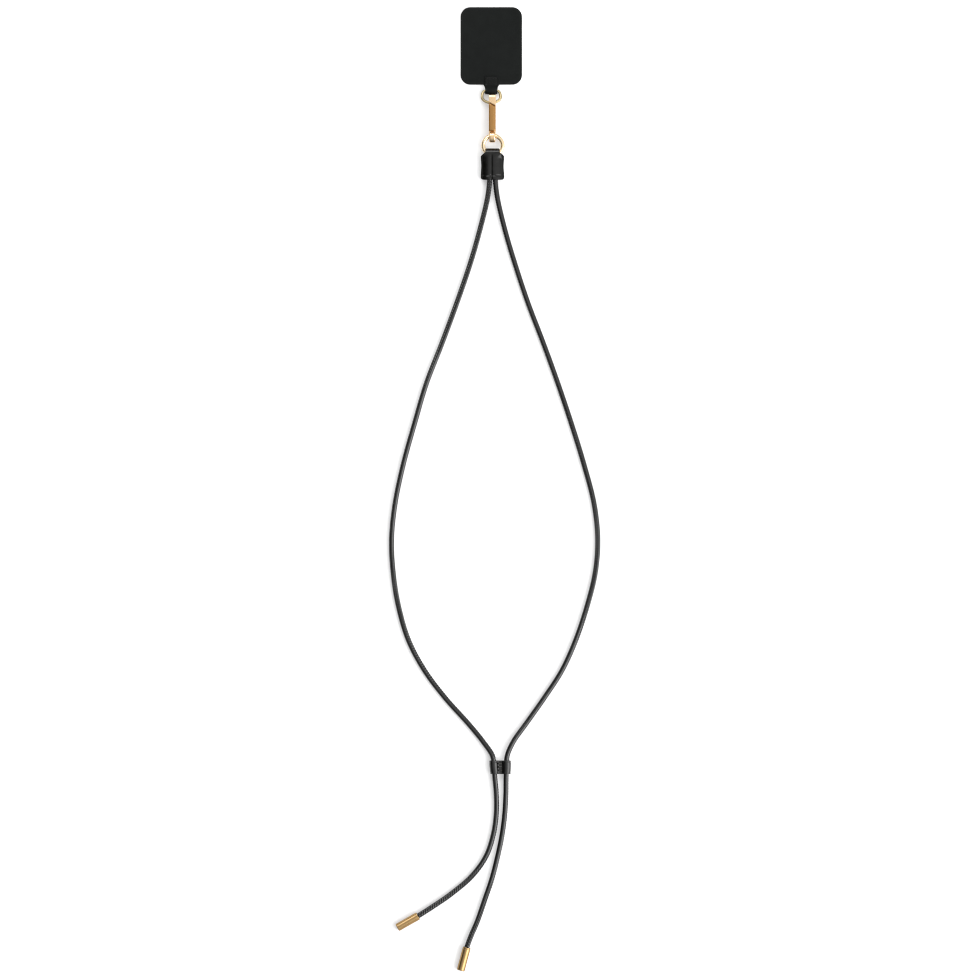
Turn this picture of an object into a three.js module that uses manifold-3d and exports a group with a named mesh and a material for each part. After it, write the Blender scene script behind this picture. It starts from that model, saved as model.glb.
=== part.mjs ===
// A phone crossbody strap, laid flat: a thin patch with a neck folded round a D-ring, a sprung clasp, a round
// ring, a folded leather tab, two round leather cords, a leather slider and two metal end caps.
// Millimetres, +Z up. The origin is the middle of the patch's under side, and the strap lies along -Y on the
// ground at z = 0.
import * as THREE from 'three';
import { mergeVertices } from 'three/addons/utils/BufferGeometryUtils.js';
import Module from 'manifold-3d';

// Clearances
const gap = 0.3; // between two pieces that touch on the real strap
const groundGap = 0.05; // under a cord that lies on the ground
const past = 1; // how far a cut runs past the solid that it cuts

// Patch: a thin sheet, and its neck folded round the D-ring's bar
const patchWidth = 38;
const patchLength = 48;
const patchThickness = 1.0;
const patchCorner = 6;
const neckPlay = 2.1; // how much narrower the neck is than the D-ring inside
const neckReach = 4.0; // from the sheet's edge to the D-ring's bar
const neckFold = 9; // from the bar back to the end of the bonded fold
const neckOpen = 4; // from the bar back to where the fold is bonded
const neckCorner = 0.6;
const neckFlare = { out: 1.1, start: 1, end: 3, round: 1.5 }; // each side, by distance from the sheet's edge

// D-ring
const dRingWidth = 13.2;
const dRingHeight = 9.2;
const dRingWire = 1.7;
const dRingCorner = { across: 2.1, down: 3.8 };

// Clasp: a hook and a closed eye in one casting, standing on its spine, and a sprung gate
const claspX = 0.6; // the clasp hangs a little off the D-ring's middle
const claspPlay = 0.4; // between the nose and the patch's neck
const claspLength = 29.5;
const claspHeight = 10;
const claspWidth = 4.3;
const spine = 2.2; // thickness of the hook's bar
const noseReach = 6.4; // length of the nose's flat top
const noseSlant = 0.9; // how far the nose's lower lip reaches past its top
const hookRound = { tip: 0.5, brow: 1.8, heel: 3.4, inside: 2.0, underNose: 1.5, lip: 0.2, base: 0.5 };
const eyePlay = 1.5; // how much wider the eye's hole is than the ring's wire
const eyeWall = 1.8;
const eyeWidth = 3.7;
const pinRadius = 0.45;
const pinToEye = 0.8; // from the gate's pin to the eye's edge, at least
const tailPlay = 0.54; // between the gate's rounded tail and the eye's edge
const tangRadius = 1.2;
const tangWidth = 2.0;
const tangFoot = 0.2; // how far the base reaches past the tang, towards the nose
const baseDrop = 1.8; // from the pin down to the top of the base
const gateInset = 0.1; // each side, narrower than the hook
const gateDrop = 0.8; // the gate's top lies this much lower than the nose
const gateDepth = 2.5;
const gateWeb = 0.8; // metal over the tang's slot
const gatePlay = 0.4; // between the nose's lip and the gate
const gateTail = { back: 1.5, down: 1.0, rise: 0.2 }; // from the pin, and how much the gate thins towards it
const gateRound = { tongue: 0.2, front: 0.6, crown: 1.0, heel: 1.4, belly: 0.6, waist: 0.5 };
const tongue = { length: 1.8, thickness: 1.0 }; // the gate's tip, caught under the nose

// Ring
const ringX = 1.0;
const ringOuter = 14.4;
const ringWire = 2.4;

// Leather tab
const tabX = 0.7;
const leatherPly = 1.1;
const tabWidth = 14.6;
const tabLength = 20.6;
const tabNeckPlay = 1.0; // how much narrower the fold is than the ring inside
const tabNeckLength = 2.2;
const tabShoulder = 5.2; // from the fold to the end of the sloping shoulders
const tabRound = { fold: 0.8, neck: 0.5, shoulder: 1.2, corner: 1.6, step: 0.5, edge: 0.3 };
const tabMargin = 2.3; // thickness of the bonded margins
const tabSlack = 1.9; // between the fold and the ring's wire
const tabBulge = 0.6; // full thickness past the ring's pocket
const tabTaper = 3.1; // from full thickness down to the margins
const tabWall = 2.9; // solid leather between the ring's pocket and the cords' bores

// Cords
const cordDiameter = 3.0;
const cordPlay = 0.7; // between the two cords where they leave the tab
const cordSides = 8;
const cordSteps = 72;

// Slider
const sliderLength = 8.3;
const sliderPly = 0.9;
const sliderWeb = 2.2; // thickness of the pinched middle
const sliderNotch = 0.4; // how much shorter the pinched middle is, at each end
const sliderBack = 362.8; // from the tab to the slider's middle

// End caps
const capWall = 0.5;
const capLength = 14.8;
const capWallEnd = 3.4; // solid metal past the end of the cord
const capEdge = 0.3;

// Sides of each round shape
const sides = { arc: 3, disc: 28, pin: 16, eye: 32, bore: 20, sleeve: 24, wire: 10, ringWire: 12, ring: 40 };

// The cords' routes, from the mouths of their bores in the tab. Columns: x and y in millimetres, the piece
// whose height the cord takes up, and the share of the way from the ground up to it.
const leftRoute = [
  { x: -1.2, y: -10, at: 'tab', share: 0.72 },
  { x: -6, y: -30, at: 'tab', share: 0.1 },
  { x: -11.7, y: -50, at: 'tab', share: 0 },
  { x: -20.2, y: -75, at: 'tab', share: 0 },
  { x: -29.4, y: -100, at: 'tab', share: 0 },
  { x: -39.1, y: -125, at: 'tab', share: 0 },
  { x: -46.5, y: -150, at: 'tab', share: 0 },
  { x: -53.4, y: -175, at: 'tab', share: 0 },
  { x: -58.6, y: -200, at: 'tab', share: 0 },
  { x: -60.7, y: -222, at: 'tab', share: 0 },
  { x: -59.7, y: -242, at: 'tab', share: 0 },
  { x: -56.6, y: -262, at: 'tab', share: 0 },
  { x: -50.2, y: -284, at: 'slider', share: 0 },
  { x: -40.1, y: -303, at: 'slider', share: 0 },
  { x: -27.3, y: -320, at: 'slider', share: 0 },
  { x: -12.9, y: -336, at: 'slider', share: 0.12 },
  { x: -3.9, y: -347, at: 'slider', share: 0.6 },
  { x: 1.9, y: -355.8, at: 'slider', share: 1 },
  { x: 2.8, y: -362.8, at: 'slider', share: 1 },
  { x: 3.4, y: -369.8, at: 'slider', share: 1 },
  { x: 4.2, y: -379, at: 'slider', share: 0.45 },
  { x: 4.2, y: -392, at: 'slider', share: 0 },
  { x: 2.3, y: -405, at: 'slider', share: 0 },
  { x: -2.1, y: -418, at: 'cap', share: 0 },
  { x: -10.9, y: -430.3, at: 'cap', share: 0 },
  { x: -24.1, y: -441.6, at: 'cap', share: 0.1 },
  { x: -35.5, y: -449.4, at: 'cap', share: 0.7 },
  { x: -43.7, y: -454.6, at: 'cap', share: 1 },
  { x: -48.8, y: -457.5, at: 'cap', share: 1 },
  { x: -53.9, y: -460.4, at: 'cap', share: 1 },
];
const rightRoute = [
  { x: 1.2, y: -10, at: 'tab', share: 0.72 },
  { x: 5.9, y: -30, at: 'tab', share: 0.1 },
  { x: 11.8, y: -50, at: 'tab', share: 0 },
  { x: 20.1, y: -75, at: 'tab', share: 0 },
  { x: 29.65, y: -100, at: 'tab', share: 0 },
  { x: 38.7, y: -125, at: 'tab', share: 0 },
  { x: 47.1, y: -150, at: 'tab', share: 0 },
  { x: 54.8, y: -175, at: 'tab', share: 0 },
  { x: 61.2, y: -200, at: 'tab', share: 0 },
  { x: 63.4, y: -222, at: 'tab', share: 0 },
  { x: 61.9, y: -242, at: 'tab', share: 0 },
  { x: 57.1, y: -262, at: 'tab', share: 0 },
  { x: 49.8, y: -284, at: 'slider', share: 0 },
  { x: 41.2, y: -303, at: 'slider', share: 0 },
  { x: 30.2, y: -320, at: 'slider', share: 0 },
  { x: 18.9, y: -336, at: 'slider', share: 0.12 },
  { x: 11.1, y: -347, at: 'slider', share: 0.6 },
  { x: 7.3, y: -355.8, at: 'slider', share: 1 },
  { x: 6.9, y: -362.8, at: 'slider', share: 1 },
  { x: 6.6, y: -369.8, at: 'slider', share: 1 },
  { x: 6.5, y: -379, at: 'slider', share: 0.45 },
  { x: 5.8, y: -392, at: 'slider', share: 0 },
  { x: 4.1, y: -405, at: 'slider', share: 0 },
  { x: 1.4, y: -418, at: 'cap', share: 0 },
  { x: -2.2, y: -432, at: 'cap', share: 0 },
  { x: -6.6, y: -445, at: 'cap', share: 0 },
  { x: -11.3, y: -458.5, at: 'cap', share: 0.15 },
  { x: -15, y: -467, at: 'cap', share: 0.8 },
  { x: -17.6, y: -474, at: 'cap', share: 1 },
  { x: -19.1, y: -479.6, at: 'cap', share: 1 },
  { x: -20.6, y: -485.2, at: 'cap', share: 1 },
];

// Sizes that follow from the ones above
const cordRadius = cordDiameter / 2;
const cordSpacing = cordDiameter + cordPlay;
const boreRadius = cordRadius + gap;
const dWireRadius = dRingWire / 2;
const dRingRise = dRingHeight - dRingWire;
const ringWireRadius = ringWire / 2;
const ringRadius = ringOuter / 2 - ringWireRadius;
const neckWidth = dRingWidth - 2 * dRingWire - neckPlay;
const neckHole = dWireRadius + gap;
const neckOuter = neckHole + patchThickness;
const barY = -patchLength / 2 - neckReach;
const noseY = barY - neckOuter - claspPlay;
const noseUnder = claspHeight - spine;
const eyeHole = ringWire + eyePlay;
const eyeRadius = eyeHole / 2 + eyeWall;
const eyeBack = claspLength - eyeRadius;
const gateTop = claspHeight - gateDrop;
const gateWidth = claspWidth - 2 * gateInset;
const pinUp = gateTop - gateWeb - gap - tangRadius;
const tailReach = eyeRadius + gateRound.heel + tailPlay;
const tailUp = pinUp - gateTail.down + gateRound.heel - eyeRadius;
const tailBack = Math.sqrt(Math.max(0, tailReach ** 2 - tailUp ** 2)) + gateTail.back - gateRound.heel;
const pinBack = eyeBack - Math.max(eyeRadius + pinToEye, tailBack);
const baseUp = pinUp - baseDrop;
const tabHeight = 2 * (leatherPly + boreRadius);
const tabMiddle = tabHeight / 2;
const tabNeckWidth = ringOuter - 2 * ringWire - tabNeckPlay;
const pocketEnd = leatherPly + tabSlack + ringWire + gap;
const boreDepth = tabLength - pocketEnd - tabWall;
const wireBack = eyeBack - (eyeHole / 2 - ringWireRadius - gap);
const ringTopY = noseY - wireBack;
const ringTilt = Math.asin((eyeRadius - tabMiddle) / (2 * ringRadius));
const ringMiddle = (tabMiddle + eyeRadius) / 2;
const ringY = ringTopY - ringRadius * Math.cos(ringTilt);
const ringFootY = ringY - ringRadius * Math.cos(ringTilt);
const tabTopY = ringFootY + ringWireRadius + tabSlack + leatherPly;
const exitY = tabTopY - tabLength;
const sliderRadius = boreRadius + sliderPly;
const capRadius = boreRadius + capWall;
const heights = { tab: tabMiddle, slider: sliderRadius, cap: capRadius };

const metal = new THREE.MeshStandardMaterial({ color: 0xdcbd84, roughness: 0.25, metalness: 1 });
const darkMetal = new THREE.MeshStandardMaterial({ color: 0xb08a50, roughness: 0.3, metalness: 1 });
const leather = new THREE.MeshStandardMaterial({ color: 0x141414, roughness: 0.4, metalness: 0 });
const sheet = new THREE.MeshStandardMaterial({ color: 0x1c1e1e, roughness: 0.6, metalness: 0 });

const wasm = await Module();
wasm.setup();

// A closed geometry as a solid that can be joined and cut.
function solidOf(geometry) {
  const bare = geometry.clone();
  bare.deleteAttribute('normal');
  bare.deleteAttribute('uv');
  const merged = mergeVertices(bare, 1e-4);
  const triVerts = new Uint32Array(merged.index.array);
  const vertProperties = new Float32Array(merged.attributes.position.array);
  return new wasm.Manifold(new wasm.Mesh({ numProp: 3, vertProperties, triVerts }));
}

// A solid as a geometry.
function geometryOf(solid) {
  const mesh = solid.getMesh();
  const geometry = new THREE.BufferGeometry();
  geometry.setAttribute('position', new THREE.BufferAttribute(mesh.vertProperties, 3));
  geometry.setIndex(new THREE.BufferAttribute(mesh.triVerts, 1));
  geometry.computeVertexNormals();
  return geometry;
}

// A closed outline through the corners, each rounded by an arc of its radius. A corner is [x, y, radius].
function roundedOutline(corners) {
  const shape = new THREE.Shape();
  const count = corners.length;
  const points = corners.map(([x, y]) => new THREE.Vector2(x, y));
  points.forEach((corner, i) => {
    const radius = corners[i][2];
    const inward = corner.clone().sub(points[(i + count - 1) % count]).normalize();
    const outward = points[(i + 1) % count].clone().sub(corner).normalize();
    const turn = Math.atan2(inward.cross(outward), inward.dot(outward));
    const start = corner.clone().addScaledVector(inward, -radius * Math.tan(Math.abs(turn) / 2));
    if (i === 0) shape.moveTo(start.x, start.y);
    else shape.lineTo(start.x, start.y);
    if (radius === 0) return;
    const side = new THREE.Vector2(-inward.y, inward.x).multiplyScalar(Math.sign(turn) * radius);
    const from = Math.atan2(-side.y, -side.x);
    shape.absarc(start.x + side.x, start.y + side.y, radius, from, from + turn, turn < 0);
  });
  shape.closePath();
  return shape;
}

// A rectangle's corners, all rounded alike, from its low corner to its high corner.
function box(x0, y0, x1, y1, radius = 0) {
  return [[x0, y0, radius], [x1, y0, radius], [x1, y1, radius], [x0, y1, radius]];
}

// A plate with its outline in the x, y plane, between two heights.
function plate(corners, low, high) {
  const options = { depth: high - low, bevelEnabled: false, curveSegments: sides.arc };
  return solidOf(new THREE.ExtrudeGeometry(roundedOutline(corners), options).translate(0, 0, low));
}

// A bar with its outline in side view, as distance back along -Y and height, with x = 0 at its middle.
const sideView = new THREE.Matrix4().makeBasis(
  new THREE.Vector3(0, -1, 0),
  new THREE.Vector3(0, 0, 1),
  new THREE.Vector3(-1, 0, 0),
);
function bar(corners, width) {
  const options = { depth: width, bevelEnabled: false, curveSegments: sides.arc };
  const flat = new THREE.ExtrudeGeometry(roundedOutline(corners), options).translate(0, 0, -width / 2);
  return solidOf(flat.applyMatrix4(sideView));
}

// A round pin or disc across the side view, with x = 0 at its middle.
function disc(back, up, radius, width, count = sides.disc) {
  const round = new THREE.CylinderGeometry(radius, radius, width, count);
  return solidOf(round.rotateZ(Math.PI / 2).translate(0, -back, up));
}

// A rod of the given radius, centred on a point, along a direction.
function rod(centre, direction, radius, length, count = sides.bore) {
  const turn = new THREE.Quaternion().setFromUnitVectors(new THREE.Vector3(0, 1, 0), direction);
  const round = new THREE.CylinderGeometry(radius, radius, length, count).rotateY(Math.PI / count);
  return solidOf(round.applyQuaternion(turn).translate(centre.x, centre.y, centre.z));
}

// The point where a line from outside touches a circle, on the circle's upper side.
function touchPoint(from, centre, radius) {
  const away = from.clone().sub(centre);
  const angle = Math.atan2(away.y, away.x) - Math.acos(radius / away.length());
  const other = Math.atan2(away.y, away.x) + Math.acos(radius / away.length());
  const upper = Math.sin(angle) > Math.sin(other) ? angle : other;
  return [centre.x + radius * Math.cos(upper), centre.y + radius * Math.sin(upper), 0];
}

function named(name, geometry, material) {
  const mesh = new THREE.Mesh(geometry, material.clone());
  mesh.name = name;
  return mesh;
}

// The neck's end seen from the side: round the bar, and back down to the top of the sheet.
function neckLoop() {
  const back = -barY;
  const centre = new THREE.Vector2(back, neckOuter);
  const bondEnd = new THREE.Vector2(back - neckFold, patchThickness);
  const holeEnd = new THREE.Vector2(back - neckOpen, patchThickness);
  const wide = neckWidth + 2 * neckFlare.out;
  const outer = [
    [bondEnd.x, 0, 0],
    [back, 0, 0],
    touchPoint(bondEnd, centre, neckOuter),
    [bondEnd.x, bondEnd.y, 0],
  ];
  const hole = [[holeEnd.x, holeEnd.y, 0], [back, patchThickness, 0], touchPoint(holeEnd, centre, neckHole)];
  return bar(outer, wide)
    .add(disc(back, neckOuter, neckOuter, wide))
    .subtract(disc(back, neckOuter, neckHole, wide + 2 * past))
    .subtract(bar(hole, wide + 2 * past));
}

// The neck from above, wider where it meets the sheet.
function neckOutline() {
  const edge = -patchLength / 2;
  const half = neckWidth / 2;
  const wide = half + neckFlare.out;
  const low = barY - neckOuter;
  const { start, end, round } = neckFlare;
  return [
    [half, low, neckCorner],
    [half, edge - end, round],
    [wide, edge - start, round],
    [wide, barY + neckFold, 0],
    [-wide, barY + neckFold, 0],
    [-wide, edge - start, round],
    [-half, edge - end, round],
    [-half, low, neckCorner],
  ];
}

function phonePatch() {
  const corners = box(-patchWidth / 2, -patchLength / 2, patchWidth / 2, patchLength / 2, patchCorner);
  const neck = neckLoop().intersect(plate(neckOutline(), -past, 2 * neckOuter + past));
  return named('phone_patch', geometryOf(plate(corners, 0, patchThickness).add(neck)), sheet);
}

// A closed tube round an outline in the x, y plane.
function closedTube(outline, radius, count, steps) {
  const centres = outline.getSpacedPoints(steps).slice(0, steps);
  const positions = [];
  const index = [];
  centres.forEach((centre, i) => {
    const along = centres[(i + 1) % steps].clone().sub(centres[(i + steps - 1) % steps]).normalize();
    for (let j = 0; j < count; j++) {
      const angle = (2 * Math.PI * j) / count;
      const out = radius * Math.cos(angle);
      positions.push(centre.x + along.y * out, centre.y - along.x * out, radius * Math.sin(angle));
      const [here, next] = [i * count, ((i + 1) % steps) * count];
      const [low, high] = [j, (j + 1) % count];
      index.push(here + low, next + low, here + high, here + high, next + low, next + high);
    }
  });
  const geometry = new THREE.BufferGeometry();
  geometry.setAttribute('position', new THREE.Float32BufferAttribute(positions, 3));
  geometry.setIndex(index);
  geometry.computeVertexNormals();
  return geometry;
}

// The D-ring: a straight bar, rounded corners and a half ellipse, tilted up to lie on the hook's spine.
function dRing() {
  const half = (dRingWidth - dRingWire) / 2;
  const { across, down } = dRingCorner;
  const outline = new THREE.Path();
  outline.moveTo(0, 0);
  outline.lineTo(-half + across, 0);
  outline.absellipse(-half + across, -down, across, down, Math.PI / 2, Math.PI, false);
  outline.absellipse(0, -down, half, dRingRise - down, Math.PI, 2 * Math.PI, false);
  outline.absellipse(half - across, -down, across, down, 0, Math.PI / 2, false);
  outline.lineTo(0, 0);
  const mesh = named('d_ring', closedTube(outline, dWireRadius, sides.wire, sides.ring), metal);
  const climb = spine + gap + dWireRadius - neckOuter;
  mesh.position.set(0, barY, neckOuter);
  mesh.rotation.x = -Math.asin(climb / dRingRise);
  return mesh;
}

// The hook in side view: nose, front, spine and the base that carries the gate.
function hookCorners() {
  const baseFront = pinBack - tangRadius - tangFoot;
  const baseBack = eyeBack - eyeHole / 2 - gap;
  const baseInside = Math.min(hookRound.inside, baseUp - spine - hookRound.base);
  return [
    [noseReach, claspHeight, hookRound.tip],
    [0, claspHeight, hookRound.brow],
    [0, 0, hookRound.heel],
    [baseBack, 0, 0],
    [baseBack, baseUp, 0],
    [baseFront, baseUp, hookRound.base],
    [baseFront, spine, baseInside],
    [spine, spine, hookRound.inside],
    [spine, noseUnder, hookRound.underNose],
    [noseReach + noseSlant, noseUnder, hookRound.lip],
  ];
}

function hookBody() {
  const stem = box(pinBack - tangRadius, spine, pinBack + tangRadius, pinUp);
  const solid = bar(hookCorners(), claspWidth)
    .add(disc(eyeBack, eyeRadius, eyeRadius, eyeWidth, sides.eye))
    .add(bar(stem, tangWidth))
    .add(disc(pinBack, pinUp, tangRadius, tangWidth))
    .subtract(disc(pinBack, pinUp, pinRadius + gap, claspWidth))
    .subtract(disc(eyeBack, eyeRadius, eyeHole / 2, claspWidth + past));
  return named('hook_body', geometryOf(solid), metal);
}

// The gate in side view, from its tongue under the nose to its tail behind the pin.
function gateCorners() {
  const front = noseReach + noseSlant + gatePlay;
  const tip = front - tongue.length;
  const tongueTop = noseUnder - gap;
  const under = gateTop - gateDepth;
  const { back, down, rise } = gateTail;
  return [
    [tip, tongueTop - tongue.thickness, gateRound.tongue],
    [tip, tongueTop, gateRound.tongue],
    [front, tongueTop, 0],
    [front, gateTop, gateRound.front],
    [pinBack + back, gateTop, gateRound.crown],
    [pinBack + back, pinUp - down, gateRound.heel],
    [pinBack - back, pinUp - down, gateRound.belly],
    [pinBack - 2 * back, under + rise, gateRound.waist],
  ];
}

function gate() {
  const slot = box(pinBack - tangRadius - 2 * gap, 0, pinBack + gateTail.back + past, gateTop - gateWeb);
  const solid = bar(gateCorners(), gateWidth)
    .subtract(bar(slot, tangWidth + 2 * gap))
    .add(disc(pinBack, pinUp, pinRadius, gateWidth, sides.pin));
  return named('gate', geometryOf(solid), darkMetal);
}

// The ring lies from the eye down to the tab.
function ring() {
  const round = new THREE.TorusGeometry(ringRadius, ringWireRadius, sides.ringWire, sides.ring);
  const mesh = named('ring', round, metal);
  mesh.position.set(ringX, ringY, ringMiddle);
  mesh.rotation.x = ringTilt;
  return mesh;
}

// The tab from above: neck, sloping shoulders and body.
function tabOutline() {
  const neck = tabNeckWidth / 2;
  const half = tabWidth / 2;
  const { fold, neck: waist, shoulder, corner } = tabRound;
  return [
    [neck, 0, fold],
    [-neck, 0, fold],
    [-neck, -tabNeckLength, waist],
    [-half, -tabShoulder, shoulder],
    [-half, -tabLength, corner],
    [half, -tabLength, corner],
    [half, -tabShoulder, shoulder],
    [neck, -tabNeckLength, waist],
  ];
}

// The tab from the side: thick and round at the fold, thinner at its bonded margins.
function tabProfile() {
  const [low, high] = [tabMiddle - tabMargin / 2, tabMiddle + tabMargin / 2];
  const thickTo = pocketEnd + tabBulge;
  const thinFrom = thickTo + tabTaper;
  const { step, edge } = tabRound;
  return [
    [0, 0, tabMiddle - edge / 2],
    [thickTo, 0, step],
    [thinFrom, low, step],
    [tabLength, low, edge],
    [tabLength, high, edge],
    [thinFrom, high, step],
    [thickTo, tabHeight, step],
    [0, tabHeight, tabMiddle - edge / 2],
  ];
}

// The tab is open inside for the ring, gives way round its wire, and holds the cords in a raised tunnel.
function leatherTab() {
  const pocketHalf = ringWireRadius + gap;
  const pocketRound = pocketHalf - gap / 2;
  const pocket = box(leatherPly, tabMiddle - pocketHalf, pocketEnd, tabMiddle + pocketHalf, pocketRound);
  const tunnelLength = boreDepth + tabWall - gap;
  const up = new THREE.Vector3(0, 1, 0);
  const between = box(tabLength - tunnelLength, 0, tabLength, tabHeight);
  const body = plate(tabOutline(), -past, tabHeight + past).intersect(bar(tabProfile(), tabWidth + past));
  let solid = body.add(bar(between, cordSpacing));
  for (const side of [-1, 1]) {
    const centre = new THREE.Vector3((side * cordSpacing) / 2, tunnelLength / 2 - tabLength, tabMiddle);
    solid = solid.add(rod(centre, up, tabMiddle, tunnelLength, sides.sleeve));
  }
  for (const side of [-1, 1]) {
    const mouth = new THREE.Vector3((side * cordSpacing) / 2, -tabLength, tabMiddle);
    solid = solid.subtract(rod(mouth, up, boreRadius, 2 * boreDepth));
  }
  const dent = new THREE.TorusGeometry(ringRadius, ringWireRadius + gap, sides.wire, sides.eye);
  dent.rotateX(ringTilt).translate(ringX - tabX, ringY - tabTopY, ringMiddle);
  solid = solid.subtract(bar(pocket, tabWidth + past)).subtract(solidOf(dent));
  const mesh = named('leather_tab', geometryOf(solid), leather);
  mesh.position.set(tabX, tabTopY, 0);
  return mesh;
}

// A cord's centre line, straight through its bore in the tab and then along its route into its end cap.
function cordLine(route, side) {
  const ground = cordRadius + groundGap;
  const held = [boreDepth - gap, (boreDepth - gap) / 2, 0].map((y) => ({ x: 0, y, at: 'tab', share: 1 }));
  const points = [...held, ...route].map(({ x, y, at, share }) => {
    const z = ground + share * (heights[at] - ground);
    return new THREE.Vector3(tabX + (side * cordSpacing) / 2 + x, exitY + y, z);
  });
  return new THREE.CatmullRomCurve3(points, false, 'centripetal');
}

function cord(name, line) {
  const section = new THREE.Shape();
  for (let i = 0; i < cordSides; i++) {
    const angle = (2 * Math.PI * (i + 0.5)) / cordSides;
    const [x, y] = [cordRadius * Math.cos(angle), cordRadius * Math.sin(angle)];
    if (i === 0) section.moveTo(x, y);
    else section.lineTo(x, y);
  }
  section.closePath();
  const options = { steps: cordSteps, extrudePath: line, bevelEnabled: false };
  return named(name, new THREE.ExtrudeGeometry(section, options), leather);
}

// Where a cord passes the slider's middle, and its direction there.
function atSlider(line) {
  const samples = 2000;
  const wanted = exitY - sliderBack;
  let u = 0;
  while (u < 1 && line.getPoint(u).y > wanted) u += 1 / samples;
  const along = line.getPoint(u + 4 / samples).sub(line.getPoint(u - 4 / samples));
  return { centre: line.getPoint(u), along: along.setZ(0).normalize() };
}

// Two leather sleeves side by side round the cords, pinched together between them.
function slider(lines) {
  const places = lines.map(atSlider);
  const ends = places.map(({ centre, along }) => {
    const reach = along.clone().multiplyScalar(sliderLength / 2 - sliderNotch);
    return [centre.clone().sub(reach), centre.clone().add(reach)];
  });
  const [[leftUp, leftDown], [rightUp, rightDown]] = ends;
  const web = [leftUp, leftDown, rightDown, rightUp].map((p) => [p.x, p.y, 0]);
  let solid = plate(web, sliderRadius - sliderWeb / 2, sliderRadius + sliderWeb / 2);
  for (const { centre, along } of places) {
    const middle = new THREE.Vector3(centre.x, centre.y, sliderRadius);
    solid = solid.add(rod(middle, along, sliderRadius, sliderLength, sides.sleeve));
  }
  for (const { centre, along } of places) {
    const middle = new THREE.Vector3(centre.x, centre.y, sliderRadius);
    solid = solid.subtract(rod(middle, along, boreRadius, sliderLength + 2 * past));
  }
  return named('slider', geometryOf(solid), leather);
}

// A metal cup over a cord's end, with small chamfers at its mouth and its closed end.
function endCap(name, line) {
  const inner = capRadius - capEdge;
  const bottom = capWallEnd;
  const profile = [
    [0, 0], [inner, 0], [capRadius, capEdge], [capRadius, capLength - capEdge], [inner, capLength],
    [boreRadius, capLength], [boreRadius, bottom], [0, bottom],
  ].map(([x, y]) => new THREE.Vector2(x, y));
  const mesh = named(name, new THREE.LatheGeometry(profile, sides.sleeve), metal);
  const end = line.getPoint(1);
  const along = line.getTangent(1).setZ(0).normalize();
  mesh.position.copy(end).addScaledVector(along, bottom + gap);
  mesh.position.z = capRadius;
  mesh.quaternion.setFromUnitVectors(new THREE.Vector3(0, 1, 0), along.negate());
  return mesh;
}

const clasp = new THREE.Group();
clasp.position.set(claspX, noseY, 0);
clasp.add(hookBody(), gate());

const leftLine = cordLine(leftRoute, -1);
const rightLine = cordLine(rightRoute, 1);
const strap = new THREE.Group();
strap.add(phonePatch(), dRing(), clasp, ring(), leatherTab());
strap.add(cord('cord_left', leftLine), cord('cord_right', rightLine), slider([leftLine, rightLine]));
strap.add(endCap('end_cap_left', leftLine), endCap('end_cap_right', rightLine));

export default strap;
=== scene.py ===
# %% [markdown]
# # A phone crossbody strap in leather cord and pale gold
#
# The strap lies flat on a pale floor: a thin patch with a fabric neck, a D-ring, a sprung clasp, a round
# ring, a folded leather tab, two stitched leather cords that run through a leather slider, and two metal
# end caps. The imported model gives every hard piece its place. This script makes the fine surfaces around
# those places. Lengths are in metres, and MM turns a size in millimetres into one.

import bpy
import numpy as np

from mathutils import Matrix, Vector
from mathutils.geometry import tessellate_polygon


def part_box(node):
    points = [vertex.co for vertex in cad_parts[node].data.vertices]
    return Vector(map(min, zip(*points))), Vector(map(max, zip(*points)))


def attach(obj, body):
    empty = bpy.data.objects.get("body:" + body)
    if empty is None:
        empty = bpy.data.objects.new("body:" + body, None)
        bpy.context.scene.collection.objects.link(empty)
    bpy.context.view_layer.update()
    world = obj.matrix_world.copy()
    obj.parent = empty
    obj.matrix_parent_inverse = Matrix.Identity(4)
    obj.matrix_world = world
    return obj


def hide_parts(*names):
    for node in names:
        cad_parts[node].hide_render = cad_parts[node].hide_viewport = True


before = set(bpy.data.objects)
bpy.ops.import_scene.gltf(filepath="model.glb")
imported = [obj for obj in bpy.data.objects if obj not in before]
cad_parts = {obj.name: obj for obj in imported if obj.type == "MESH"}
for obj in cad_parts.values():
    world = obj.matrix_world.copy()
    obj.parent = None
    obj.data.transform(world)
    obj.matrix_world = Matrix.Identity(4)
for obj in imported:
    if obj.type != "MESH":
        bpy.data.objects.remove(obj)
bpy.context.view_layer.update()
MM = 0.001
BODY = "strap"
print("nodes", sorted(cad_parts))

# %% [markdown]
# ## The camera
#
# The photo looks straight down with a long lens, so nothing converges. One pixel of the 980 pixel frame
# is 0.62 mm on the floor, which makes the view 607.6 mm wide. A 200 mm lens on a 36 mm sensor sees that
# width from 3.4 m up. The camera hangs over the middle of the frame, and needs no shift.

# %% Camera
PIXEL = 0.62 * MM
FRAME_PIXELS = 980
ORIGIN_PIXEL = (490.8, 45.5)
LENS = 200.0
SENSOR = 36.0


def add_object(name, data):
    """A new object with this data, linked to the scene."""
    thing = bpy.data.objects.new(name, data)
    bpy.context.scene.collection.objects.link(thing)
    return thing


def from_pixel(px, py):
    """The point on the floor under a pixel of the photo: right of and above the origin's own pixel."""
    return (px - ORIGIN_PIXEL[0]) * PIXEL, (ORIGIN_PIXEL[1] - py) * PIXEL


def add_camera():
    """A camera straight above the frame's middle, high enough that its view is the frame's width."""
    middle = (FRAME_PIXELS - 1) / 2
    x, y = from_pixel(middle, middle)
    data = bpy.data.cameras.new("camera")
    data.lens, data.sensor_width = LENS, SENSOR
    camera = add_object("camera", data)
    camera.location = (x, y, FRAME_PIXELS * PIXEL * LENS / SENSOR)
    bpy.context.scene.camera = camera
    return camera


camera = add_camera()
print("camera at", [round(c, 4) for c in camera.location])

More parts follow.
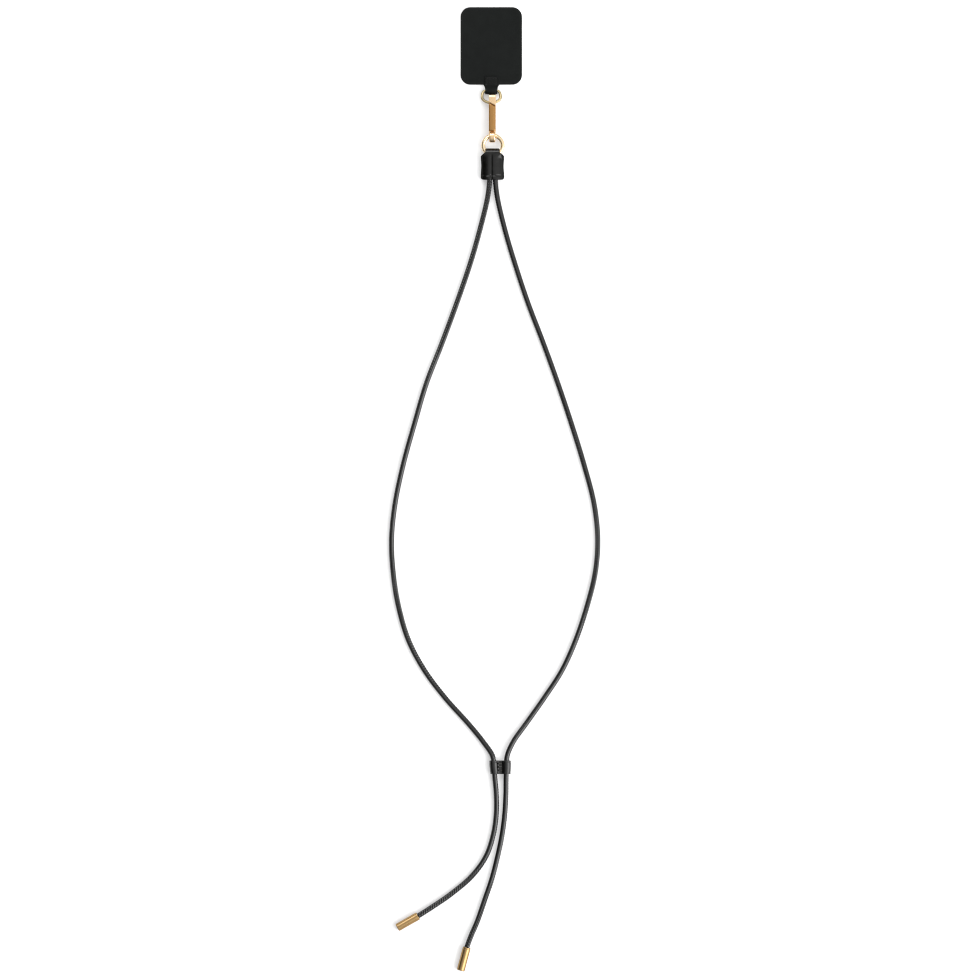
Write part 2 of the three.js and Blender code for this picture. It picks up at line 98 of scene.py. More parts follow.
# %% [markdown]
# ## Surfaces from arrays
#
# Every new piece is a grid of points: a function of two parameters, or a profile carried along a path.
# Numpy works out all the points at once. A grid's rows close on themselves, so it is a tube, and each
# open end of it is closed with one more point in its middle.

# %% Grid helpers
def unit(vectors):
    """The vectors, each divided by its own length."""
    return vectors / np.linalg.norm(vectors, axis=-1, keepdims=True)


def full_turn(steps):
    """Angles spread evenly round a full turn."""
    return np.linspace(0, 2 * np.pi, steps, endpoint=False)


def grid_faces(rows, columns, wrap_rows=False):
    """Each face joins a grid point to the next in its row and to the two below them. Every row closes on
    itself, and the last row joins the first if asked."""
    i = np.arange(rows if wrap_rows else rows - 1)[:, None]
    j = np.arange(columns)[None, :]
    i2, j2 = (i + 1) % rows, (j + 1) % columns
    corners = [i * columns + j, i * columns + j2, i2 * columns + j2, i2 * columns + j]
    return np.stack([np.broadcast_to(c, (i.size, j.size)) for c in corners], axis=-1).reshape(-1, 4)


def end_fan(first, columns, tip, flip):
    """Triangles from each pair of neighbours in the row that starts at first to the tip point."""
    j = np.arange(columns)
    a, b = first + j, first + (j + 1) % columns
    order = [b, a] if flip else [a, b]
    return np.stack([*order, np.full(columns, tip)], axis=-1)


def is_inside_out(points, parts):
    """Whether the volume inside comes out negative. It is a sixth of the sum, over
    triangles fanned from each face's first corner, of the first corner's dot product with
    the cross product of the other two."""
    corners = [points[part] for part in parts]
    return sum((c[:, :1] * np.cross(c[:, 1:-1], c[:, 2:])).sum() for c in corners) < 0


def new_piece(name, *shells):
    """A mesh object from closed shells. A shell is its points (n, 3) and a list of arrays of faces, and
    its faces are turned round where they point inwards."""
    faces, start = [], 0
    for points, parts in shells:
        turned = is_inside_out(points, parts)
        faces += [face for part in parts for face in ((part[:, ::-1] if turned else part) + start).tolist()]
        start += len(points)
    mesh = bpy.data.meshes.new(name)
    mesh.from_pydata(np.vstack([points for points, _ in shells]).tolist(), [], faces)
    mesh.shade_smooth()
    return add_object(name, mesh)


def add_point_uv(piece, uv):
    """A UV map named along, with the same pair (n, 2) at every corner of the faces round a point."""
    mesh = piece.data
    corner_points = np.empty(len(mesh.loops), dtype=np.int32)
    mesh.loops.foreach_get("vertex_index", corner_points)
    layer = mesh.uv_layers.new(name="along")
    layer.data.foreach_set("uv", uv[corner_points].astype(np.float32).ravel())


def add_attribute(piece, name, values):
    """One number for each point, which a material can read by name."""
    attribute = piece.data.attributes.new(name, "FLOAT", "POINT")
    attribute.data.foreach_set("value", values.astype(np.float32))


def tube_faces(rows, columns):
    """The side faces of a tube whose first and last point are the middles of its two ends, and the two
    ends."""
    last = 1 + (rows - 1) * columns
    return [grid_faces(rows, columns) + 1, end_fan(1, columns, 0, True),
            end_fan(last, columns, last + columns, False)]


def tube_shell(rings):
    """A closed tube from rings of points (rows, columns, 3)."""
    points = np.vstack([rings[0].mean(0)[None], rings.reshape(-1, 3), rings[-1].mean(0)[None]])
    return points, tube_faces(*rings.shape[:2])


def loop_shell(rings):
    """A closed shell from rings of which the last joins the first, as on a doughnut."""
    return rings.reshape(-1, 3), [grid_faces(*rings.shape[:2], wrap_rows=True)]


print("faces of a tube with 3 rings of 4 points", sum(len(part) for part in tube_faces(3, 4)))

# %% [markdown]
# ## The cords' routes
#
# A free cord is one length of something limp that lies where gravity and its bends let it. Both leave
# the tab side by side, swing out into the wearing loop, come together in the slider, and end in their
# metal caps. Each route is a short list of points chosen on the photo, measured from the mouth of the
# cord's own bore in the tab. The height of a point is a share of the way from the floor up to the bore
# of the tab, slider or cap near it.

# %% Routes
CORD_RADIUS = 1.5 * MM
CORD_SKIN = 1.64 * MM
CORD_SPACING = 3.7 * MM
CORD_HELD = 11.7 * MM
GROUND_GAP = 0.01 * MM
CAP_RADIUS = 2.42 * MM
# x and y in millimetres, the piece whose height the cord takes up, and the share of the way up to it
LEFT_ROUTE = [
    (-1.2, -10, "tab", 0.72), (-6, -30, "tab", 0.1), (-11.7, -50, "tab", 0), (-20.2, -75, "tab", 0),
    (-29.4, -100, "tab", 0), (-39.1, -125, "tab", 0), (-46.5, -150, "tab", 0), (-53.4, -175, "tab", 0),
    (-58.6, -200, "tab", 0), (-60.7, -222, "tab", 0), (-59.7, -242, "tab", 0), (-56.6, -262, "tab", 0),
    (-50.2, -284, "slider", 0), (-40.1, -303, "slider", 0), (-27.3, -320, "slider", 0),
    (-12.9, -336, "slider", 0.12), (-3.9, -347, "slider", 0.6), (1.9, -355.8, "slider", 1),
    (2.8, -362.8, "slider", 1), (3.4, -369.8, "slider", 1), (4.2, -379, "slider", 0.45),
    (4.2, -392, "slider", 0), (2.3, -405, "slider", 0), (-2.1, -418, "cap", 0),
    (-10.9, -430.3, "cap", 0), (-24.1, -441.6, "cap", 0.1), (-35.5, -449.4, "cap", 0.7),
    (-43.7, -454.6, "cap", 1), (-48.8, -457.5, "cap", 1), (-53.9, -460.4, "cap", 1),
]
RIGHT_ROUTE = [
    (1.2, -10, "tab", 0.72), (5.9, -30, "tab", 0.1), (11.8, -50, "tab", 0), (20.1, -75, "tab", 0),
    (29.65, -100, "tab", 0), (38.7, -125, "tab", 0), (47.1, -150, "tab", 0), (54.8, -175, "tab", 0),
    (61.2, -200, "tab", 0), (63.4, -222, "tab", 0), (61.9, -242, "tab", 0), (57.1, -262, "tab", 0),
    (49.8, -284, "slider", 0), (41.2, -303, "slider", 0), (30.2, -320, "slider", 0),
    (18.9, -336, "slider", 0.12), (11.1, -347, "slider", 0.6), (7.3, -355.8, "slider", 1),
    (6.9, -362.8, "slider", 1), (6.6, -369.8, "slider", 1), (6.5, -379, "slider", 0.45),
    (5.8, -392, "slider", 0), (4.1, -405, "slider", 0), (1.4, -418, "cap", 0), (-2.2, -432, "cap", 0),
    (-6.6, -445, "cap", 0), (-11.3, -458.5, "cap", 0.15), (-15, -467, "cap", 0.8),
    (-17.6, -474, "cap", 1), (-19.1, -479.6, "cap", 1), (-20.6, -485.2, "cap", 1),
]

tab_low, tab_high = (np.array(corner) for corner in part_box("leather_tab"))
TAB_MIDDLE = (tab_low + tab_high) / 2
HEIGHTS = {
    "tab": TAB_MIDDLE[2],
    "slider": sum(corner[2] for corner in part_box("slider")) / 2,
    "cap": CAP_RADIUS + GROUND_GAP,
}


def route_points(route, side):
    """The route in metres: x and y from the bore's mouth, and z up from the floor by its share."""
    mouth = np.array([TAB_MIDDLE[0] + side * CORD_SPACING / 2, tab_low[1], 0])
    ground = CORD_SKIN + GROUND_GAP
    held = [(0, CORD_HELD / MM * share, "tab", 1) for share in (1, 0.5, 0)]
    rows = held + route
    z = [ground + share * (HEIGHTS[at] - ground) for _, _, at, share in rows]
    return mouth + np.column_stack([np.array([row[:2] for row in rows]) * MM, z])


def centripetal_curve(points, steps=60):
    """A smooth curve through the points. Between p1 and p2 it is the cubic with p1 and p2 as
    its ends and with end slopes from the neighbours p0 and p3, where each stretch counts as
    long as the root of its length."""
    p = np.vstack([2 * points[0] - points[1], points, 2 * points[-1] - points[-2]])
    p0, p1, p2, p3 = (p[k : len(p) - 3 + k] for k in range(4))
    pairs = ((p0, p1), (p1, p2), (p2, p3))
    d01, d12, d23 = (np.sqrt(np.linalg.norm(b - a, axis=1))[:, None] for a, b in pairs)
    slope1 = ((p1 - p0) / d01 - (p2 - p0) / (d01 + d12) + (p2 - p1) / d12) * d12
    slope2 = ((p2 - p1) / d12 - (p3 - p1) / (d12 + d23) + (p3 - p2) / d23) * d12
    t = (np.arange(steps) / steps)[:, None, None]
    bend2, bend3 = 3 * (p2 - p1) - 2 * slope1 - slope2, 2 * (p1 - p2) + slope1 + slope2
    curve = p1 + slope1 * t + bend2 * t**2 + bend3 * t**3
    return np.vstack([curve.transpose(1, 0, 2).reshape(-1, 3), points[-1]])


def even_spacing(curve, step):
    """The same curve with its points an even distance apart, and the distance of each point along it."""
    run = np.concatenate([[0], np.cumsum(np.linalg.norm(np.diff(curve, axis=0), axis=1))])
    along = np.linspace(0, run[-1], int(round(run[-1] / step)) + 1)
    return np.column_stack([np.interp(along, run, curve[:, k]) for k in range(3)]), along


def path_frame(path):
    """Unit vectors along the path, to its right hand side as seen from above, and up, square to each
    other."""
    along = unit(np.gradient(path, axis=0))
    right = unit(np.cross([0, 0, 1.0], along))
    return along, right, np.cross(along, right)


# %% [markdown]
# ## The cords' surface
#
# The cord is a strip of leather rolled round a core and sewn shut, so one seam runs along it, with a
# stitch every 1.65 mm. Each stitch pulls a groove across the seam, and the leather stands up between the
# grooves as small round pillows. The seam turns slowly round the cord as it lies. So the section is a
# circle whose radius drops in each groove near the seam, carried along the route. The threads are
# separate small pieces that lie in the grooves.

# %% Cords
PITCH = 1.65 * MM
RINGS_PER_STITCH = 6
CORD_COLUMNS = 28
GROOVE_DEPTH = 0.5 * MM
SEAM_LINE_DEPTH = 0.07 * MM
SEAM_HALF_ANGLE = 0.85
SEAM_LINE_HALF_ANGLE = 0.13
GROOVE_POWER = 1.1
GROOVE_SLANT = 0.75
GROOVE_SLANT_REACH = 1.2
# Where the seam lies round the cord, by how far down the photo: 90 degrees is up, 0 is right and 180 is
# left.
LEFT_SEAM = [(150, 420), (290, 440), (320, 445), (345, 450), (380, 530), (420, 560), (560, 530), (590, 455),
             (640, 415), (690, 380), (740, 350), (840, 345), (866, 400), (885, 440), (916, 462)]
RIGHT_SEAM = [(150, 200), (360, 190), (400, 150), (440, 130), (480, 150), (530, 120), (560, 95), (590, 70),
              (615, 45), (650, 5), (860, -10), (885, 35), (915, 70), (960, 100)]


def seam_turn(path, table):
    """The seam's angle in radians at each point of the path, from the table of rows down the photo."""
    rows, degrees = np.array(table, float).T
    return np.radians(np.interp(-path[:, 1], -from_pixel(0, rows)[1], degrees))


def cord_rings(path, along, seam):
    """Rings round the path. The radius is the cord's, less a groove across the seam at each stitch and a
    fine line along it: both fade with the angle from the seam as a bell curve. A groove is 1 - |sin|^1.1
    of the distance along, and the slant carries it on by a share of the distance round the cord."""
    _, right, up = path_frame(path)
    off = np.linspace(-np.pi, np.pi, CORD_COLUMNS, endpoint=False)[None, :]
    angle = seam[:, None] + off
    slanting = np.clip(off, -GROOVE_SLANT_REACH, GROOVE_SLANT_REACH)
    carried = along[:, None] + GROOVE_SLANT * CORD_RADIUS * slanting
    groove = 1 - np.abs(np.sin(np.pi * carried / PITCH)) ** GROOVE_POWER
    dip = GROOVE_DEPTH * groove * np.exp(-((off / SEAM_HALF_ANGLE) ** 2))
    line = SEAM_LINE_DEPTH * np.exp(-((off / SEAM_LINE_HALF_ANGLE) ** 2))
    radius = (CORD_SKIN - dip - line)[..., None]
    round_path = np.cos(angle)[..., None] * right[:, None] + np.sin(angle)[..., None] * up[:, None]
    return path[:, None] + radius * round_path


def make_cord(name, route, side, seam_table):
    """One cord: its route, the turn of its seam along it, and its rings."""
    curve = centripetal_curve(route_points(route, side))
    path, along = even_spacing(curve, PITCH / RINGS_PER_STITCH)
    seam = seam_turn(path, seam_table)
    piece = new_piece(name, tube_shell(cord_rings(path, along, seam)))
    print(name, "length mm", round(along[-1] / MM, 1), "faces", len(piece.data.polygons))
    return piece, path, along, seam


left_cord, *left_line = make_cord("leather_cord_left", LEFT_ROUTE, -1, LEFT_SEAM)
right_cord, *right_line = make_cord("leather_cord_right", RIGHT_ROUTE, 1, RIGHT_SEAM)
left_path, right_path = left_line[0], right_line[0]

# %% [markdown]
# ## The thread in the seam
#
# The thread is waxed and as black as the leather. Each stitch crosses the seam at a slant in the bottom
# of its groove and dives into the leather at both ends. A stitch is a short tube that tapers to a point
# at both ends. There are over three hundred on each cord, so each has only a few dozen faces.

# %% Threads
THREAD_RADIUS = 0.21 * MM
THREAD_SIDES = 8
THREAD_RINGS = 5
THREAD_START, THREAD_END = 0.04, 0.96
THREAD_LIFT = 0.9 * THREAD_RADIUS
STITCH_HALF_ANGLE = 0.62
STITCH_SINK = 0.3 * MM
DOWN_THE_STRAP = np.array([0, 1.0, 0])


def threads(lines, across, radius=THREAD_RADIUS):
    """Short threads along the lines (count, points, 3). The section is a circle square to the
    line, and its radius shrinks towards the two ends as the root of 1 - (2t - 1)^4, with t
    from 0 to 1 along the line."""
    count, points = lines.shape[:2]
    along = unit(np.gradient(lines, axis=1))
    side = unit(np.cross(along, across))
    lift = np.cross(along, side)
    turn = full_turn(THREAD_SIDES)
    t = np.linspace(THREAD_START, THREAD_END, points)
    size = (radius * np.sqrt(1 - (2 * t - 1) ** 4))[:, None, None]
    circle = np.cos(turn)[:, None] * side[:, :, None] + np.sin(turn)[:, None] * lift[:, :, None]
    rings = lines[:, :, None] + size * circle
    shells = np.concatenate([lines[:, :1], rings.reshape(count, -1, 3), lines[:, -1:]], axis=1)
    starts = (np.arange(count) * shells.shape[1])[:, None, None]
    parts = [(part[None] + starts).reshape(-1, part.shape[1]) for part in tube_faces(points, THREAD_SIDES)]
    return shells.reshape(-1, 3), parts


def cord_stitches(name, path, along, seam):
    """One thread at each groove. Its line runs round the cord at the groove's bottom, from one side of
    the seam to the other, with the groove's slant, and sinks below the surface at its ends."""
    off = np.linspace(-STITCH_HALF_ANGLE, STITCH_HALF_ANGLE, THREAD_RINGS)[None, :]
    count = int(along[-1] / PITCH)
    where = np.arange(1, count)[:, None] * PITCH - GROOVE_SLANT * CORD_RADIUS * off
    _, right, up = path_frame(path)
    centre, right, up = (np.stack([np.interp(where, along, part[:, k]) for k in range(3)], axis=-1)
                         for part in (path, right, up))
    angle = (np.interp(where, along, seam) + off)[..., None]
    bottom = CORD_SKIN - GROOVE_DEPTH * np.exp(-((off / SEAM_HALF_ANGLE) ** 2)) + THREAD_LIFT
    radius = (bottom - STITCH_SINK * (off / STITCH_HALF_ANGLE) ** 4)[..., None]
    lines = centre + radius * (np.cos(angle) * right + np.sin(angle) * up)
    piece = new_piece(name, threads(lines, np.cross(right, up)))
    print(name, "stitches", count - 1)
    return piece


left_cord_stitches = cord_stitches("cord_left_stitches", *left_line)
right_cord_stitches = cord_stitches("cord_right_stitches", *right_line)

# %% [markdown]
# ## The end caps
#
# A cap is a short drawn metal cup, glued over the cord's end and polished. It is a turned shape,
# so its half section is carried round the cord's own axis: down the inside of the cup, over the
# rim, along the outside and over the closed end. Corners are rounded, because a polished edge
# always catches a line of light.

# %% Rounded outlines and turned shapes
CORNER_STEPS = 7
FLAT_START = 0.08
SAME_POINT = 1e-4


def rounded_line(corners):
    """Points on an outline with rounded corners (first, second, radius). Each corner becomes the curve
    (1 - t)^2 start + 2 t (1 - t) corner + t^2 end, which starts and ends where a circle of the radius
    would touch the sides. One more point on each side keeps the flats looking flat."""
    corners = np.array(corners, float)
    place, radius = corners[:, :2], corners[:, 2:]
    before, after = np.roll(place, 1, 0) - place, np.roll(place, -1, 0) - place
    before, after = unit(before), unit(after)
    half = np.arccos(np.clip((before * after).sum(1), -1, 1))[:, None] / 2
    reach = radius / np.tan(half)
    start, end = place + before * reach, place + after * reach
    t = np.linspace(0, 1, CORNER_STEPS)[:, None, None]
    curve = (1 - t) ** 2 * start + 2 * t * (1 - t) * place + t**2 * end
    before_start, after_end = start + before * reach * FLAT_START, end + after * reach * FLAT_START
    curve = np.concatenate([[before_start], curve, [after_end]])
    line = curve.transpose(1, 0, 2).reshape(-1, 2)
    return line[np.linalg.norm(line - np.roll(line, 1, 0), axis=1) > SAME_POINT]


def turned_shell(profile, centre, axis, columns=48):
    """A profile of (distance along the axis, radius) carried round the axis as a circle."""
    side = unit(np.cross([0, 0, 1.0], axis))
    lift = np.cross(axis, side)
    turn = full_turn(columns)
    circle = np.cos(turn)[:, None] * side + np.sin(turn)[:, None] * lift
    distance, radius = profile[:, 0][:, None, None], profile[:, 1][:, None, None]
    return tube_shell(centre + distance * axis + radius * circle)


# %% End caps
# The half section in millimetres: distance along the cap from its middle, radius, and corner radius
CAP_PROFILE = [
    (4.0, 0.02, 0), (4.0, 1.76, 0.3), (-7.4, 1.76, 0.2), (-7.4, 2.42, 0.26), (-6.5, 2.42, 0.1),
    (-6.36, 2.3, 0.1), (-6.22, 2.42, 0.1), (7.3, 2.42, 0.5), (7.5, 0.02, 0),
]
LAST_STRETCH = 3 * RINGS_PER_STITCH


def end_cap(name, node, path):
    """The cap's profile, turned about the line of the cord's last stretch through
    the middle of its CAD node."""
    middle = np.append(np.mean(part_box(node), axis=0)[:2], HEIGHTS["cap"])
    axis = unit(path[-1] - path[-LAST_STRETCH])
    piece = new_piece(name, turned_shell(rounded_line(CAP_PROFILE) * MM, middle, axis))
    print(name, "along", axis.round(3), "faces", len(piece.data.polygons))
    return piece


left_cap = end_cap("metal_cap_left", "end_cap_left", left_path)
right_cap = end_cap("metal_cap_right", "end_cap_right", right_path)

# %% [markdown]
# ## The slider
#
# The slider is one strip of leather wrapped round both cords and pinched between them by three stitches.
# Its section is a figure of eight: the height over the middle plane is a half circle over each cord, and
# the pinched web between them. The rows run down its outside, over the lower rim, up its inside and over
# the upper rim, so the shell closes on itself both ways.

# %% Slider
SLIDER_Y = -447.02 * MM
SLIDER_HALF = 4.15 * MM
SLIDER_OUTER = 2.7 * MM
SLIDER_INNER = 1.72 * MM
SLIDER_RIM = 0.42 * MM
SLIDER_WEB = 0.95 * MM
SLIDER_STITCHES = np.array([2.5, 0.4, -1.7]) * MM
SLIDER_COLUMNS = 48
SLIDER_ROWS, SLIDER_INNER_ROWS = 45, 24
# The pressed line near each end: how far from the middle, how wide and how deep
LINE_PLACE, LINE_WIDTH, LINE_DEPTH = 3.2 * MM, 0.16 * MM, 0.1 * MM
# How far along the web a stitch pulls, and the share of the web's height that it takes
PULL_WIDTH, PULL_SHARE = 0.5 * MM, 0.25
SLIDER_THREAD_HALF = 1.1 * MM
SLIDER_THREAD_RADIUS = 0.26 * MM
# The share of the web's height that is left at a stitch, and how far a thread's
# middle and ends lie over that
WEB_AT_STITCH, THREAD_OVER, THREAD_FALL = 0.8, 0.2 * MM, 0.35 * MM


def cord_x(path, y):
    """The x of a cord where it passes the height y of the photo."""
    return np.interp(-y, -path[:, 1], path[:, 0])


def pair_height(x, left, right, radius, web):
    """Half the height of the pair of sleeves at x: root(radius^2 - distance^2) from the nearer cord's
    axis, and between the axes the sixth root of the sum of its and the web's sixth powers."""
    near = np.maximum(radius**2 - (x - left) ** 2, radius**2 - (x - right) ** 2)
    sleeve = np.sqrt(np.maximum(near, 0))
    between = (x > left) & (x < right)
    return np.where(between, (sleeve**6 + web**6) ** (1 / 6), sleeve)


def slider_rings(y, radius, web):
    """Rings round both cords at each y: over the top from left to right and back underneath, with the
    points gathered at the two sides as a cosine gathers them."""
    left, right = cord_x(left_path, y)[:, None], cord_x(right_path, y)[:, None]
    t = np.linspace(0, 1, SLIDER_COLUMNS + 1)[None, :]
    x = (left + right) / 2 - ((right - left) / 2 + radius[:, None]) * np.cos(np.pi * t)
    height = pair_height(x, left, right, radius[:, None], web[:, None])
    x = np.concatenate([x, x[:, -2:0:-1]], axis=1)
    z = HEIGHTS["slider"] + np.concatenate([height, -height[:, -2:0:-1]], axis=1)
    return np.stack([x, np.broadcast_to(y[:, None], x.shape), z], axis=-1)


def slider_shell():
    """The outer rows shrink at both ends as a quarter circle of the rim, and have a fine
    pressed line near each end. Each stitch pulls the web in as a bell curve. The inner rows
    follow at the inner radius."""
    turn = np.linspace(0, np.pi / 2, 6)
    rim_y, rim_in = SLIDER_RIM * (1 - np.sin(turn)), SLIDER_RIM * (1 - np.cos(turn))
    flat_half = SLIDER_HALF - SLIDER_RIM * 1.1
    flat = np.linspace(flat_half, -flat_half, SLIDER_ROWS)
    down = np.concatenate([(SLIDER_HALF - rim_y)[::-1], flat, -(SLIDER_HALF - rim_y)])
    rounding = np.concatenate([rim_in[::-1], np.zeros(flat.size), rim_in])
    line = LINE_DEPTH * np.exp(-(((np.abs(down) - LINE_PLACE) / LINE_WIDTH) ** 2))
    pull = np.exp(-(((down[:, None] - SLIDER_STITCHES) / PULL_WIDTH) ** 2)).sum(1)
    web = SLIDER_WEB * (1 - PULL_SHARE * pull) - 0.5 * line
    outer = slider_rings(SLIDER_Y + down, SLIDER_OUTER - rounding - line, web)
    gap = 0.1 * MM
    inner_y = np.linspace(-SLIDER_HALF + gap, SLIDER_HALF - gap, SLIDER_INNER_ROWS)
    inner_radius, inner_web = (np.full(SLIDER_INNER_ROWS, value) for value in (SLIDER_INNER, gap))
    return loop_shell(np.concatenate([outer, slider_rings(SLIDER_Y + inner_y, inner_radius, inner_web)]))


def slider_stitch_lines():
    """Short lines across the web at each stitch, above and below: x runs over 2.2 mm, and the height
    falls towards the ends as x squared, so that each thread sinks into the leather."""
    y = SLIDER_Y + SLIDER_STITCHES
    middle = (cord_x(left_path, y) + cord_x(right_path, y)) / 2
    t = np.linspace(-1, 1, THREAD_RINGS)
    x = middle[:, None] + SLIDER_THREAD_HALF * t
    height = SLIDER_WEB * WEB_AT_STITCH + THREAD_OVER + THREAD_FALL * t**2
    level = np.broadcast_to(y[:, None], x.shape)
    heights = (np.broadcast_to(HEIGHTS["slider"] + side * height, x.shape) for side in (1, -1))
    return np.concatenate([np.stack([x, level, z], axis=-1) for z in heights])


slider_piece = new_piece("leather_slider", slider_shell())
slider_shells = threads(slider_stitch_lines(), DOWN_THE_STRAP, SLIDER_THREAD_RADIUS)
slider_threads = new_piece("slider_stitches", slider_shells)
print("slider faces", len(slider_piece.data.polygons))

# %% [markdown]
# ## The leather tab
#
# The tab is one blank of leather, narrow in the middle, folded in half round the ring. Its two halves
# are glued together along the margins, and the two cord ends between them push the leather up into
# two ridges. So the rows of the surface follow the blank: up the front half, round the fold and down
# the back half. A row has an outer and an inner side, 1.15 mm apart, and its edges are rounded and
# painted as leather edges are.

# %% Folded blanks
def smooth_step(low, high, value):
    """0 below low, 1 above high, and 3t^2 - 2t^3 between them."""
    t = np.clip((value - low) / (high - low), 0, 1)
    return t * t * (3 - 2 * t)


def edge_rounding(distance, radius):
    """How far a face falls in near an edge: radius - root(radius^2 - d^2), d being how far past the edge
    band's start the point lies."""
    q = np.clip(1 - distance / radius, 0, 1)
    return radius * (1 - np.sqrt(1 - q**2))


def both_faces(values):
    """Values for the points of a blank's one face, then the same for the other, whose columns run
    back."""
    return np.concatenate([values, values[:, ::-1]], axis=1)


def blank_shell(across, base, direction, outer, inner):
    """A blank of leather or cloth as a closed shell. Row i lies at base[i] in the side view (y, z), and a
    point of it is moved along direction[i] by outer for the one face and by inner for the other."""
    faces = []
    for distance in (outer, inner):
        y = base[:, None, 0] + direction[:, None, 0] * distance
        z = base[:, None, 1] + direction[:, None, 1] * distance
        faces.append(np.stack([across, y, z], axis=-1))
    rings = np.concatenate([faces[0], faces[1][:, ::-1]], axis=1)
    rows, columns = rings.shape[:2]
    j = np.arange(columns // 2 - 1)
    end = np.stack([j, j + 1, columns - 2 - j, columns - 1 - j], axis=-1)
    parts = [grid_faces(rows, columns), end[:, ::-1], end + (rows - 1) * columns]
    return rings.reshape(-1, 3), parts


# %% Tab
# Sizes are in millimetres in this cell, and tab_shell turns its points into metres
TAB_TOP_Y = -63.62
TAB_LENGTH = 19.5
TAB_MIDDLE_X = 0.7
TAB_MIDDLE_Z = 2.9
TAB_LEATHER = 1.15
TAB_NECK_HALF = 4.3
TAB_HALF = 7.3
TAB_CORNER = 1.6
TAB_COLUMNS = 84
# Where the shoulders start and end, back from the tab's top
SHOULDERS = (1.9, 5.3)
# How far the waist draws each side in, where its middle lies, and how far it reaches from there
WAIST_DEPTH, WAIST_BACK, WAIST_REACH = 0.35, 11, 4
# Each ridge over a cord end: x of its crest, its widths to the left and right, and the powers that make
# its two sides rounder or flatter
RIDGES = [(-2.6, 4.2, 2.4, 1.5, 3.0), (0.6, 1.9, 5.2, 2.0, 2.0)]
JOIN_POWER = 8
FOLD_RADIUS = 2.9
FOLD_FADE = (2.4, 6.8)
TAB_EDGE = 0.42
TAB_INNER_GAP = 0.02
# The crease's place, depth and width, and the heights between which it fades in
CREASE_BACK, CREASE_DEPTH, CREASE_WIDTH, CREASE_FADE = 16.9, 0.3, 0.35, (1.2, 1.6)


def tab_half_width(back):
    """The neck's half width, plus the shoulders as a smooth step, less a slight waist as a bell curve.
    The last 1.6 mm turns in as a quarter circle."""
    width = TAB_NECK_HALF + (TAB_HALF - TAB_NECK_HALF) * smooth_step(*SHOULDERS, back)
    width -= WAIST_DEPTH * np.exp(-(((back - WAIST_BACK) / WAIST_REACH) ** 2))
    return width - edge_rounding(TAB_LENGTH - back, TAB_CORNER)


def tab_height(x, back):
    """Half the height over the middle plane. The lower part's shape across is one leather's
    thickness at the margins, and over each cord end a ridge of (1 - |x - crest| / width to a power)
    to one over that power, each side of the crest with its own width and power. They are joined as
    the eighth root of the sum of eighth powers. The flat fold passes into that as a smooth step, and
    a crease runs across lower down."""
    total = (TAB_LEATHER / FOLD_RADIUS) ** JOIN_POWER
    for crest, left, right, left_power, right_power in RIDGES:
        power = np.where(x < crest, left_power, right_power)
        share = np.clip(np.abs(x - crest) / np.where(x < crest, left, right), 0, 1) ** power
        total = total + (1 - share) ** (JOIN_POWER / power)
    fall = (1 - np.minimum(total ** (1 / JOIN_POWER), 1)) * smooth_step(*FOLD_FADE, back)
    height = FOLD_RADIUS * (1 - fall)
    crease = CREASE_DEPTH * np.exp(-(((back - CREASE_BACK) / CREASE_WIDTH) ** 2))
    return height - crease * smooth_step(*CREASE_FADE, height)


def tab_shell():
    """Rows up the front, round the fold by a half turn, and down the back. The half turn has its own
    centre, one fold radius in from the tab's top."""
    corner = TAB_LENGTH - TAB_CORNER * (1 - np.sin(np.linspace(0, np.pi / 2, 9)))[::-1]
    straight = np.concatenate([corner, np.linspace(corner[-1] - 0.2, FOLD_RADIUS, 76)])
    turn = np.linspace(0, np.pi, 25)[1:-1]
    base_back = np.concatenate([straight, np.full(turn.size, FOLD_RADIUS), straight[::-1]])
    angle = np.concatenate([np.zeros(straight.size), turn, np.full(straight.size, np.pi)])
    out_back, out_up = -np.sin(angle), np.cos(angle)
    back = (base_back + out_back * FOLD_RADIUS)[:, None]
    half = tab_half_width(back)
    x = half * np.sin(np.linspace(-np.pi / 2, np.pi / 2, TAB_COLUMNS))[None, :]
    rounding = edge_rounding(np.minimum(half - np.abs(x), TAB_LENGTH - back), TAB_EDGE)
    height = tab_height(x, base_back[:, None])
    outer = height - rounding
    inner = np.maximum(height - TAB_LEATHER, TAB_INNER_GAP) + rounding
    base = np.column_stack([TAB_TOP_Y - base_back, np.full(base_back.size, TAB_MIDDLE_Z)])
    direction = np.column_stack([-out_back, out_up])
    points, parts = blank_shell(TAB_MIDDLE_X + x, base, direction, outer, inner)
    return points * MM, parts, both_faces(rounding).ravel() / TAB_EDGE


tab_points, tab_parts, tab_edge = tab_shell()
tab_piece = new_piece("folded_leather_tab", (tab_points, tab_parts))
add_attribute(tab_piece, "edge", tab_edge)
print("tab faces", len(tab_piece.data.polygons))

# %% [markdown]
# ## The ring and the D-ring
#
# Both are bent from round brass wire and soldered shut before plating. A round ring is a circle
# carried round a circle. The D-ring's line is made of one straight bar and quarter and half
# ellipses, and a circle is carried along it in its own plane. Each is then tipped about the x axis
# to the tilt that it has in the CAD.

# %% Wire rings
RING_CENTRE = np.array([1.0, -61.835, 3.325]) * MM
RING_RADIUS = 6.0 * MM
RING_WIRE = 1.2 * MM
RING_TILT = np.radians(4.06)
D_CENTRE = np.array([0, -28.0, 2.15]) * MM
D_WIRE = 0.85 * MM
# The D's line, in millimetres: half its width, its corners' and its bow's sizes, the distance between its
# points, and how much higher the bow's far end lies than the bar
D_HALF = 5.75
D_CORNER = (2.1, 3.8)
D_BOW = 3.7
D_STEP = 0.3
D_RISE = 1.2
D_TILT = -np.arcsin(D_RISE / (D_CORNER[1] + D_BOW))


